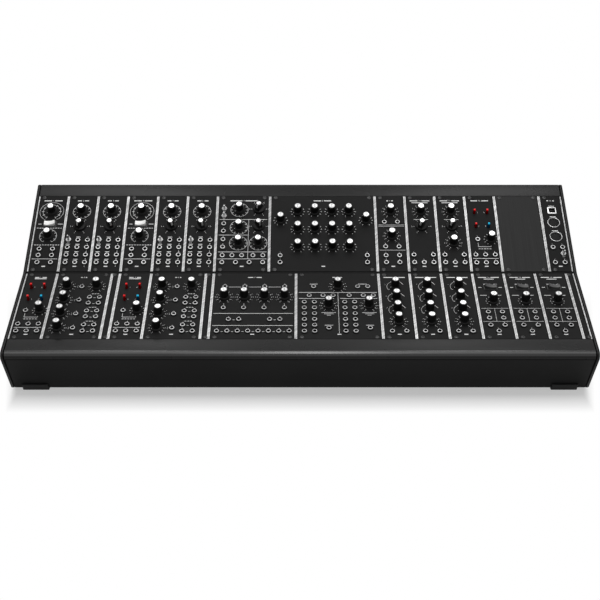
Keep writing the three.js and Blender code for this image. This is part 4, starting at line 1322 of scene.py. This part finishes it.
def circuit_board(kind, width):
    """The board behind a plate with the bodies of its sockets and controls."""
    bm = bmesh.new()
    end = RAIL_WIDTH + 0.8
    low = BOARD_FRONT - BOARD_THICKNESS
    stamp(bm, boxed((1.5, end, low), (width - 1.5, PANEL_HEIGHT - end, BOARD_FRONT), 0.2, 1, look=0))
    stamp(bm, POWER_HEADER, Matrix.Translation((width / 2, PANEL_HEIGHT / 2, low)))
    for group, body in BODIES.items():
        for x, y in spots(kind, group):
            stamp(bm, body, at(x, y))
    return bm


def screw_places(units):
    if units == 2:
        return [(3.2, SCREW_ROWS[0]), (units * PITCH - 3.2, SCREW_ROWS[1])]
    columns = [SCREW_INSET] if units <= 8 else [SCREW_INSET, units * PITCH - SCREW_INSET]
    return [(column, top) for column in columns for top in SCREW_ROWS]


# %% [markdown]
# Each kind of control has its shape, its finishes, the slot that it wears and how deep its pivot
# lies under the panel. Toggles and rockers also have a holder that stays on the panel.
# %% Making the modules
CONTROL_SHAPES = {
    "knobs": (KNOB, KNOB_LOOKS, "knob_black", 0.0),
    "selectors": (SELECTOR, SELECTOR_LOOKS, "knob_black", 0.0),
    "toggles": (BAT, [bat_nickel], "bright_metal", -TOGGLE_PIVOT),
    "levers": (LEVER, [lever_red], "red_lever", -LEVER_PIVOT),
    "rockers": (ROCKER, [rocker_dark], "dark_rocker", 0.0),
}
HOLDERS = {
    "toggles": ("toggle_nuts", assembled(toggle_nut, toggle_bush), [bat_nickel], "bright_metal"),
    "rockers": ("bezels", BEZEL, [part_black], "module_panel"),
}


def control_pose(kind, group, x, y, loose):
    """Where a control stands at rest on its panel; those that are set one way stay so."""
    depth = CONTROL_SHAPES[group][3]
    if group == "knobs":
        return at(x, y, depth, 30 * POINTER_HOUR)
    if group == "selectors":
        return at(x, y, depth, 30 * (SELECTOR_REST if loose else SELECTOR_HOURS[kind]))
    if group == "toggles" and not loose:
        return at(x, y, depth) @ Matrix.Rotation(math.radians(TOGGLE_DROP), 4, "X")
    if group == "rockers":
        tilt = -ROCKER_TILT if kind == "driver" else ROCKER_TILT
        return at(x, y, depth) @ Matrix.Rotation(math.radians(tilt), 4, "Y")
    return at(x, y, depth)


def control_finish(kind, group, index):
    """The finishes and the slot of a control; the last lever of four is blue."""
    looks, slot = CONTROL_SHAPES[group][1:3]
    if group == "levers" and index == 3:
        return [lever_blue], "blue_lever"
    if group == "rockers" and kind == "driver":
        return [rocker_white], "white_rocker"
    return looks, slot


def make_controls(name, kind, place, add_piece):
    """The controls of one module: the loose ones alone, the others joined by kind and finish."""
    for group, control in CONTROL_SHAPES.items():
        fixed = {}
        for index, (x, y) in enumerate(spots(kind, group)):
            looks, slot = control_finish(kind, group, index)
            loose = LOOSE.get((name, group, index))
            bm = bmesh.new() if loose else fixed.setdefault(slot, (bmesh.new(), looks))[0]
            stamp(bm, control[0], control_pose(kind, group, x, y, loose))
            if loose:
                finish_piece(bm, loose + "_finished", looks, loose, (loose,), slot, place)
        for slot, (bm, looks) in fixed.items():
            add_piece(slot.replace("lever", "levers") if group == "levers" else group, bm, looks, slot)
        if group in HOLDERS and spots(kind, group):
            ending, holder, looks, slot = HOLDERS[group]
            add_piece(ending, stamped(holder, [at(x, y) for x, y in spots(kind, group)]), looks, slot)


def make_module(name, units, kind, place, number, bands):
    """All the pieces of one module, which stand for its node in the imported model."""
    node = name + ("_panel" if kind == "blank" else "_module")
    width = units * PITCH

    def add_piece(ending, bm, looks, slot):
        finish_piece(bm, name + "_" + ending, looks, "case", (node,), slot, place)

    look = panel_brushed if name == "blank_wide" else panel_black
    add_piece("faceplate", stamped(faceplate(kind, width)), [look, painted_recess_shade], "module_panel")
    bm = bmesh.new()
    for left in (BAND_START, width - BAND_START - BAND_WIDTH):
        far = (left + BAND_WIDTH, PANEL_HEIGHT - BAND_TOP_GAP, BAND_RISE)
        stamp(bm, boxed((left, 0, -0.1), far, 0.12, 1))
    add_piece("edge_bands", bm, [bands], "bright_metal")
    screws = [at(x, below(top), 0, 17 * x + top) for x, top in screw_places(units)]
    add_piece("screws", stamped(SCREW, screws), [screw_black], "module_panel")
    if kind == "blank":
        return
    add_piece("print", print_module(kind, units, number), [print_ink], "module_panel")
    add_piece("circuit_board", circuit_board(kind, width), [board_green, part_black, nickel], "circuit_board")
    sockets = [at(x, y, 0, 11 * x) for x, y in spots(kind, "sockets")]
    add_piece("sockets", stamped(SOCKET, sockets), SOCKET_LOOKS, "bright_metal")
    if kind == "interface":
        bm = stamped(PORT, [at(x, y) for x, y in spots(kind, "ports")])
        for x, y in spots(kind, "dins"):
            stamp(bm, DIN, at(x, y))
        add_piece("ports", bm, [nickel, nut_black], "bright_metal")
    make_controls(name, kind, place, add_piece)


for row_modules, row_frame, bands in (
    (UPPER_ROW, UPPER_PLACE, upper_band_painted_shade),
    (LOWER_ROW, LOWER_PLACE, band_aluminium),
):
    before = 0
    for number, (name, units, kind) in enumerate(row_modules, 1):
        place = row_frame @ Matrix.Translation((before * PITCH, 0, 0))
        make_module(name, units, kind, place, number, bands)
        before += units
print("pieces so far:", piece_count)

# %% [markdown]
# The case is folded sheet between two end cheeks, with an extruded rail along each end of the
# rows. All of its long pieces share one way of making: a side view is drawn as a face, drawn out
# across the case, and its long edges are rounded by the bevel operator with the real bend radius.
# %% Helper for long pieces
def across(outline, left, right, rounds=(), look=0, rim=0.0, segments=5):
    """A side view drawn out across the case; rounds are (corner, radius) pairs."""
    bm = bmesh.new()
    face = bm.faces.new([bm.verts.new((left, depth, height)) for depth, height in outline])
    draw_out(bm, face, (right - left, 0, 0))
    bmesh.ops.recalc_face_normals(bm, faces=bm.faces)
    for corner, radius in rounds:
        round_corner(bm, corner, radius, segments)
    if rim:
        ends = [edge for edge in bm.edges if edge.verts[0].co.x == edge.verts[1].co.x]
        round_edges(bm, ends, rim, 3)
    return keep_shape(bm, look)


def round_corner(bm, corner, radius, segments=5):
    """Rounds the long edges at one corner of a side view with a radius."""
    corner = Vector(corner)
    found = [e for e in bm.edges if all((vert.co.yz - corner).length < 0.01 for vert in e.verts)]
    reach = radius * math.tan(found[0].calc_face_angle() / 2)
    round_edges(bm, found, reach, segments)


LIP_THICKNESS = 2.5
RAIL_DEPTH = 10.0
RAIL_HEEL = 4.0
NOSE_RADIUS = 7.0
CREST_RADIUS = 3.5
PANEL_SEAT = -PANEL_THICKNESS - SEAT_GAP
NOSE_FOOT = Vector((0, CHIN.y))


def on_lower(along, above, start=LOWER_FRONT):
    return on_slope(start, LOWER_SLOPE, along, above)


def on_upper(along, above, start=UPPER_REAR):
    return on_slope(start, UPPER_SLOPE, along, above)


# %% [markdown]
# The front rail is an aluminium extrusion, coated black: its lip runs from the round nose to the
# lower row, and its foot carries the front ends of the panels. The rear rail is its partner
# behind the upper row, and the middle rail lies under the seam between the rows.
# %% Rails
front_outline = [
    NOSE,
    on_lower(-SEAT_GAP, 0),
    on_lower(-SEAT_GAP, PANEL_SEAT),
    on_lower(RAIL_WIDTH, PANEL_SEAT),
    on_lower(RAIL_WIDTH, PANEL_SEAT - RAIL_DEPTH),
    on_lower(-RAIL_HEEL, PANEL_SEAT - RAIL_DEPTH),
    on_lower(-RAIL_HEEL, -LIP_THICKNESS),
    on_slope(NOSE, LOWER_SLOPE, LIP_THICKNESS + NOSE_RADIUS, -LIP_THICKNESS),
    Vector((LIP_THICKNESS, CHIN.y)),
    NOSE_FOOT,
]
front_rail = across(
    front_outline, -INNER_HALF, INNER_HALF, [(NOSE, NOSE_RADIUS), (front_outline[1], 0.4), (NOSE_FOOT, 0.5)]
)
bm = stamped(front_rail)
for face in bm.faces:
    if face.calc_center_median().y < NOSE_RADIUS and 0.2 < face.normal.z < 0.96 and face.normal.y < -0.1:
        face.material_index = 1
finish_piece(bm, "front_lip", [lip_black, nose_black], "case", ("front_rail",), "case_extrusion", CASE_PLACE)

middle_outline = [
    on_lower(-RAIL_WIDTH, PANEL_SEAT, LOWER_REAR),
    on_lower(SEAT_GAP, PANEL_SEAT, LOWER_REAR),
    on_lower(SEAT_GAP, -0.5, LOWER_REAR),
    on_upper(-SEAT_GAP, -0.5, UPPER_FRONT),
    on_upper(-SEAT_GAP, PANEL_SEAT, UPPER_FRONT),
    on_upper(RAIL_WIDTH, PANEL_SEAT, UPPER_FRONT),
    on_upper(RAIL_WIDTH, PANEL_SEAT - RAIL_DEPTH, UPPER_FRONT),
    on_lower(-RAIL_WIDTH, PANEL_SEAT - RAIL_DEPTH, LOWER_REAR),
]
middle_rail = across(
    middle_outline, -INNER_HALF, INNER_HALF, [(middle_outline[2], 0.3), (middle_outline[3], 0.3)]
)
bm = stamped(middle_rail)
finish_piece(bm, "middle_strip", [powder_black], "case", ("middle_rail",), "case_extrusion", CASE_PLACE)

SHOULDER_FLANGE = 9
back_foot = on_upper(REAR_LIP, -SHOULDER_FLANGE)
rear_outline = [
    on_upper(SEAT_GAP, PANEL_SEAT),
    on_upper(SEAT_GAP, 0),
    CREST,
    back_foot,
    on_upper(REAR_LIP - LIP_THICKNESS, -SHOULDER_FLANGE),
    on_upper(REAR_LIP - LIP_THICKNESS, -LIP_THICKNESS - CREST_RADIUS),
    on_upper(REAR_LIP - LIP_THICKNESS - CREST_RADIUS, -LIP_THICKNESS),
    on_upper(RAIL_HEEL, -LIP_THICKNESS),
    on_upper(RAIL_HEEL, PANEL_SEAT - RAIL_DEPTH),
    on_upper(-RAIL_WIDTH, PANEL_SEAT - RAIL_DEPTH),
    on_upper(-RAIL_WIDTH, PANEL_SEAT),
]
rear_rounds = [(CREST, CREST_RADIUS), (rear_outline[1], 0.4), (back_foot, 0.4)]
bm = stamped(across(rear_outline, -INNER_HALF, INNER_HALF, rear_rounds, segments=7))
finish_piece(bm, "rear_lip", [lip_black], "case", ("rear_rail",), "case_extrusion", CASE_PLACE)

# %% [markdown]
# The tub is one sheet of steel, folded three times: front wall, floor, rear wall and shoulder.
# The line of its outside is drawn out across the case, its folds are rounded with a bend radius,
# and the solidify operator gives the sheet its thickness inward.
# %% Tub of folded sheet
SHEET_THICKNESS = 1.6
BEND_RADIUS = 3.0
NOSE_SEAM = 2.0
fall = (FRONT_HEEL - CHIN).normalized()
tub_line = [
    CHIN - fall * (NOSE_SEAM / fall.y),
    FRONT_HEEL,
    REAR_HEEL,
    SHOULDER_END,
    on_slope(CREST, UPPER_SLOPE, 0, -SHOULDER_FLANGE - SEAT_GAP),
]
tub = bmesh.new()
tub_ends = [tub.verts.new((-INNER_HALF, depth, height)) for depth, height in tub_line]
tub_edges = [tub.edges.new(pair) for pair in zip(tub_ends, tub_ends[1:])]
tub_moved = bmesh.ops.extrude_edge_only(tub, edges=tub_edges)["geom"]
bmesh.ops.translate(tub, verts=points_in(tub_moved), vec=(2 * INNER_HALF, 0, 0))
for bend in (FRONT_HEEL, REAR_HEEL, SHOULDER_END):
    round_corner(tub, bend, BEND_RADIUS)
bmesh.ops.recalc_face_normals(tub, faces=tub.faces)
floor_face = min(tub.faces, key=lambda face: face.calc_center_median().z)
if floor_face.normal.z > 0:
    bmesh.ops.reverse_faces(tub, faces=tub.faces)
bmesh.ops.solidify(tub, geom=tub.faces[:], thickness=SHEET_THICKNESS)
SUPPLY_SIDE_GAP = 60
SUPPLY_HALF_WIDTH = 75
SUPPLY_LOW = -FLOOR_DROP + SHEET_THICKNESS + SEAT_GAP
INLET_X = -RACK_WIDTH / 2 + SUPPLY_SIDE_GAP + SUPPLY_HALF_WIDTH
INLET_HEIGHT = SUPPLY_LOW + 26
INLET_RADIUS = 7.5
TURN_BACK = Matrix.Rotation(math.radians(-90), 4, "X")
inlet_place = Matrix.Translation((INLET_X, REAR_HEEL.x, INLET_HEIGHT)) @ TURN_BACK
inlet_drill = turned([(0, -4), (INLET_RADIUS + 0.35, -4), (INLET_RADIUS + 0.35, 2), (0, 2)], 32)
bm = stamped(carved(keep_shape(tub, 0), assembled((inlet_drill, inlet_place))))
finish_piece(bm, "folded_tub", [powder_black], "case", ("case_tub",), "case_sheet", CASE_PLACE)

# %% [markdown]
# The cheeks close the ends. Each is a plate with the case's whole side view, its nose and crest
# rounded as the lips are and its rim broken all round, held by six small screws. The bevels of the
# broken rim are coloured blacker than the plate as painted shade, and the narrow flat between has
# the lips' gloss.
# %% Cheeks
cheek_outline = [NOSE_FOOT, NOSE, LOWER_REAR, CREST, SHOULDER_END, REAR_HEEL, FRONT_HEEL]
CHEEK_SCREWS = [(12, -7), (150, 28), (262, 88), (292, 40), (60, -52), (296, -50)]
CHEEK_RIM = 1.5
CHEEK_ROUNDS = [(NOSE, NOSE_RADIUS), (CREST, CREST_RADIUS)]
CHEEK_ROUNDS += [(corner, 2.5) for corner in (SHOULDER_END, REAR_HEEL, FRONT_HEEL)]
SCREW_SINK = 1.3
screw_well = turned([(0, -1.5), (3.1, -1.5), (3.1, 0.5), (0, 0.5)], 24)


def cheek_look(face):
    """The plate's finish on its sides, the lips' on its narrow flat, and painted shade on the bevels."""
    sideways = abs(face.normal.x)
    if sideways < 0.2:
        return 1
    return 2 if sideways < 0.95 else 0


for side, outward, left in (("left", -1, -RACK_WIDTH / 2 - CHEEK_THICKNESS), ("right", 1, RACK_WIDTH / 2)):
    outer = left if outward < 0 else left + CHEEK_THICKNESS
    face_out = Matrix.Rotation(math.radians(90 * outward), 4, "Y")
    wells = stamped(screw_well, [Matrix.Translation((outer, *spot)) @ face_out for spot in CHEEK_SCREWS])
    cheek = across(cheek_outline, left, left + CHEEK_THICKNESS, CHEEK_ROUNDS, rim=CHEEK_RIM)
    bm = stamped(carved(cheek, keep_shape(wells)))
    for face in bm.faces:
        face.material_index = cheek_look(face)
    looks = [powder_black, lip_black, rim_painted_shade]
    wearing = ("case", (side + "_cheek",), "case_cheek", CASE_PLACE)
    finish_piece(bm, side + "_end_cheek", looks, *wearing)
    sunk = outer - outward * SCREW_SINK
    bm = stamped(SCREW, [Matrix.Translation((sunk, *spot)) @ face_out for spot in CHEEK_SCREWS])
    finish_piece(bm, side + "_cheek_screws", [screw_black], *wearing)

# %% [markdown]
# Four rubber feet wrap the lower corners of the walls, with a pad under the floor and a lip up
# the wall. Rubber is moulded soft, so every edge has a wide rounding.
# %% Feet
FOOT_LIP = 8.5
FOOT_LIP_THICKNESS = 1.2
FOOT_LENGTH = 30.0
FOOT_WIDTH = 32.3
FOOT_INSET = 10.1


def foot_shape(wall_top, heel, inward):
    """A foot that wraps the fold between a wall and the floor."""
    up = (wall_top - heel).normalized()
    out = Vector((-up.y, up.x)) * inward
    near = heel + out * SEAT_GAP
    far = heel + out * (SEAT_GAP + FOOT_LIP_THICKNESS)
    under = heel.y - SEAT_GAP
    outline = [
        near + up * FOOT_LIP,
        far + up * FOOT_LIP,
        far,
        Vector((far.x + inward * FOOT_LIP_THICKNESS, heel.y - FOOT_HEIGHT)),
        Vector((heel.x + inward * FOOT_LENGTH, heel.y - FOOT_HEIGHT)),
        Vector((heel.x + inward * FOOT_LENGTH, under)),
        Vector((near.x, under)),
    ]
    return across(
        outline, -FOOT_WIDTH / 2, FOOT_WIDTH / 2, [(outline[2], 1.0), (outline[3], 0.8), (outline[4], 0.8)], rim=0.4
    )


foot_x = RACK_WIDTH / 2 - FOOT_INSET - FOOT_WIDTH / 2
for end, shape in (
    ("front", foot_shape(CHIN, FRONT_HEEL, 1)),
    ("rear", foot_shape(SHOULDER_END, REAR_HEEL, -1)),
):
    for side, x in (("left", -foot_x), ("right", foot_x)):
        bm = stamped(shape, [Matrix.Translation((x, 0, 0))])
        node = end + "_" + side + "_foot"
        finish_piece(bm, node + "_rubber", [rubber_black], "case", (node,), "rubber_foot", CASE_PLACE)

# %% [markdown]
# Inside stand the power supply, a steel box with a round inlet that looks out of the rear wall,
# and the bus board with two rows of headers for the modules' power leads.
# %% Power supply and bus board
SUPPLY_REAR_GAP = 12
SUPPLY_DEPTH = 80
SUPPLY_HEIGHT = 42
SUPPLY_REAR = REAR_HEEL.x - SHEET_THICKNESS - SUPPLY_REAR_GAP
supply_low = (INLET_X - SUPPLY_HALF_WIDTH, SUPPLY_REAR - SUPPLY_DEPTH, SUPPLY_LOW)
supply_high = (INLET_X + SUPPLY_HALF_WIDTH, SUPPLY_REAR, SUPPLY_LOW + SUPPLY_HEIGHT)
bm = stamped(boxed(supply_low, supply_high, 1.0, 3, look=0))
inlet_outline = [(0, -14.5), (INLET_RADIUS - 0.3, -14.5), (INLET_RADIUS - 0.1, 1.2)]
inlet_outline += [(INLET_RADIUS - 0.4, 1.5), (INLET_RADIUS - 1.2, 1.5), (INLET_RADIUS - 1.4, 1.2)]
inlet_outline += [(INLET_RADIUS - 1.4, -4.5), (0, -4.5)]
inlet_body = turned(inlet_outline, 32, look=1)
inlet_pin = turned([(0, -5), (1.1, -5), (1.1, 0.1), (0.8, 0.5), (0, 0.6)], 14, look=2)
stamp(bm, assembled(inlet_body, inlet_pin), inlet_place)
finish_piece(
    bm, "supply_and_inlet", [supply_steel, part_black, nickel], "case", ("power_supply",), "supply_box", CASE_PLACE
)

BUS_LOW = SUPPLY_LOW + 6
BUS_FRONT = FRONT_HEEL.x + 38.8
BUS_HALF_LENGTH = 280
BUS_DEPTH = 60
BUS_THICKNESS = 1.6
HEADER_PITCH = 70
HEADER_FOOT = BUS_LOW + 1.4
header_block = boxed((-14, -4.5, 0), (14, 4.5, 9), 0.3, 1, look=1)
bus_header = carved(header_block, boxed((-12.8, -3.3, 1.4), (12.8, 3.3, 10)))
bus_pin = boxed((-0.3, -0.3, 0.5), (0.3, 0.3, 7.4), look=2)
bus_low = (-BUS_HALF_LENGTH, BUS_FRONT, BUS_LOW)
bus_high = (BUS_HALF_LENGTH, BUS_FRONT + BUS_DEPTH, BUS_LOW + BUS_THICKNESS)
bm = stamped(boxed(bus_low, bus_high, 0.3, 1, look=0))
for column in range(8):
    x = -BUS_HALF_LENGTH + HEADER_PITCH * (column + 0.5)
    for y in (BUS_FRONT + 15, BUS_FRONT + 45):
        stamp(bm, bus_header, Matrix.Translation((x, y, HEADER_FOOT)))
        for step in range(8):
            for row in (-PIN_PITCH / 2, PIN_PITCH / 2):
                stamp(bm, bus_pin, Matrix.Translation((x + PIN_PITCH * (step - 3.5), y + row, HEADER_FOOT)))
bus_post = turned([(0, -6), (3.8, -6), (3.8, 0.1), (0, 0.1)], 6, look=2)
for x in (-BUS_HALF_LENGTH + 4, BUS_HALF_LENGTH - 4):
    for y in (BUS_FRONT + 4, BUS_FRONT + BUS_DEPTH - 4):
        stamp(bm, bus_post, Matrix.Translation((x, y, BUS_LOW)))
        stamp(bm, SCREW, Matrix.Translation((x, y, BUS_LOW + BUS_THICKNESS)))
finish_piece(
    bm, "power_bus_board", [board_green, part_black, nickel], "case", ("bus_board",), "circuit_board", CASE_PLACE
)
print("all pieces:", piece_count)

# %% [markdown]
# The instrument stands on a pale floor in a white studio. The world is white for camera and
# mirror rays, so bright metal has something white to show, and a plain grey for the light it
# gives. The floor has a faint gloss that mirrors the dark front wall, as a lacquered table does,
# and turns into the white of the backdrop with distance while it keeps the shadow.
# %% Floor
FADE_ACROSS = (0.381, 0.395)
FADE_SLANT = -0.22
FADE_ALONG = (0.134, 0.181)
NEAR_WHITE = 0.43
floor_bmesh = bmesh.new()
bmesh.ops.create_grid(floor_bmesh, x_segments=1, y_segments=1, size=30)
floor_mesh = bpy.data.meshes.new("studio_floor")
floor_bmesh.to_mesh(floor_mesh)
floor_bmesh.free()
studio_floor = bpy.data.objects.new("studio_floor", floor_mesh)
bpy.context.scene.collection.objects.link(studio_floor)

floor_finish, floor_tree, floor_shader = new_finish("studio_floor", Roughness=0.22, Specular_IOR_Level=0.6)
floor_shader.inputs["Base Color"].default_value = grey(0.93)
floor_place = add_node(floor_tree, "ShaderNodeTexCoord").outputs["Object"]
floor_parts = add_node(floor_tree, "ShaderNodeSeparateXYZ", {"Vector": floor_place})
floor_x, floor_y = floor_parts.outputs["X"], floor_parts.outputs["Y"]
away_x = maths(floor_tree, "ABSOLUTE", floor_x)
away_x = maths(floor_tree, "MULTIPLY_ADD", floor_y, FADE_SLANT, away_x)
away_y = maths(floor_tree, "ABSOLUTE", floor_y)
fades = [mapped(floor_tree, away_x, FADE_ACROSS), mapped(floor_tree, away_y, FADE_ALONG)]
floor_far = maths(floor_tree, "MAXIMUM", *fades)
floor_fade = mapped(floor_tree, floor_far, end=(NEAR_WHITE, 1.0))


def seen_directly(tree):
    """One for camera, glossy and transmission rays, nought for the rest."""
    path = add_node(tree, "ShaderNodeLightPath")
    rays = [path.outputs["Is " + kind + " Ray"] for kind in ("Camera", "Glossy", "Transmission")]
    return maths(tree, "MAXIMUM", maths(tree, "MAXIMUM", rays[0], rays[1]), rays[2])


floor_white = maths(floor_tree, "MULTIPLY", floor_fade, seen_directly(floor_tree))
floor_glow = add_node(floor_tree, "ShaderNodeEmission", {"Color": grey(1), "Strength": 1.0})
floor_links = {0: floor_white, 1: floor_shader.outputs[0], 2: floor_glow.outputs[0]}
floor_mix = add_node(floor_tree, "ShaderNodeMixShader", floor_links)
floor_tree.links.new(floor_mix.outputs[0], floor_tree.nodes["Material Output"].inputs["Surface"])
floor_mesh.materials.append(floor_finish)

# %% [markdown]
# One large lamp over the instrument gives most of the light and isn't mirrored. Two pairs of
# small lamps above and behind it look at the crest and at the front lip. The two lamps in front
# give no light of their own. They are there to be mirrored in the rounded nose, one as a short
# bright patch and one as a long faint line.
# %% World and lamps
world = bpy.data.worlds.new("white_studio")
world.use_nodes = True
bpy.context.scene.world = world
world_tree = world.node_tree
WORLD_LEVELS = (0.4, 1.0)
world_light = mapped(world_tree, seen_directly(world_tree), end=WORLD_LEVELS)
world_tree.links.new(world_light, world_tree.nodes["Background"].inputs["Strength"])
world_tree.nodes["Background"].inputs["Color"].default_value = grey(1)


def add_lamp(name, place, target, size, watts, mirrored=True, lights=True):
    """A soft rectangular lamp, (across, along), that looks at a point and may only be mirrored."""
    data = bpy.data.lights.new(name, "AREA")
    data.shape = "RECTANGLE"
    data.size, data.size_y = size
    data.energy = watts
    lamp = bpy.data.objects.new(name, data)
    lamp.location = place
    lamp.rotation_euler = (Vector(target) - Vector(place)).to_track_quat("-Z", "Y").to_euler()
    lamp.visible_glossy = mirrored
    lamp.visible_diffuse = lights
    bpy.context.scene.collection.objects.link(lamp)


add_lamp("top_lamp", (0, 0.5, 1.7), (0, 0, 0), (1.4, 0.9), 18, mirrored=False)
for end, side in (("left", -1), ("right", 1)):
    add_lamp(end + "_near_lamp", (0.44 * side, 0.3, 1.6), (0.21 * side, 0.13, 0.18), (0.28, 0.4), 2.0)
    add_lamp(end + "_far_lamp", (0.36 * side, 0.85, 1.5), (0.17 * side, -0.14, 0.08), (0.22, 0.4), 0.85)
add_lamp("nose_lamp", (0.04, -0.54, 1.31), (0.04, -0.157, 0.07), (0.22, 1.1), 5.0, lights=False)
add_lamp("nose_strip_lamp", (0, -0.56, 1.31), (0, -0.157, 0.07), (2.4, 0.8), 9, lights=False)
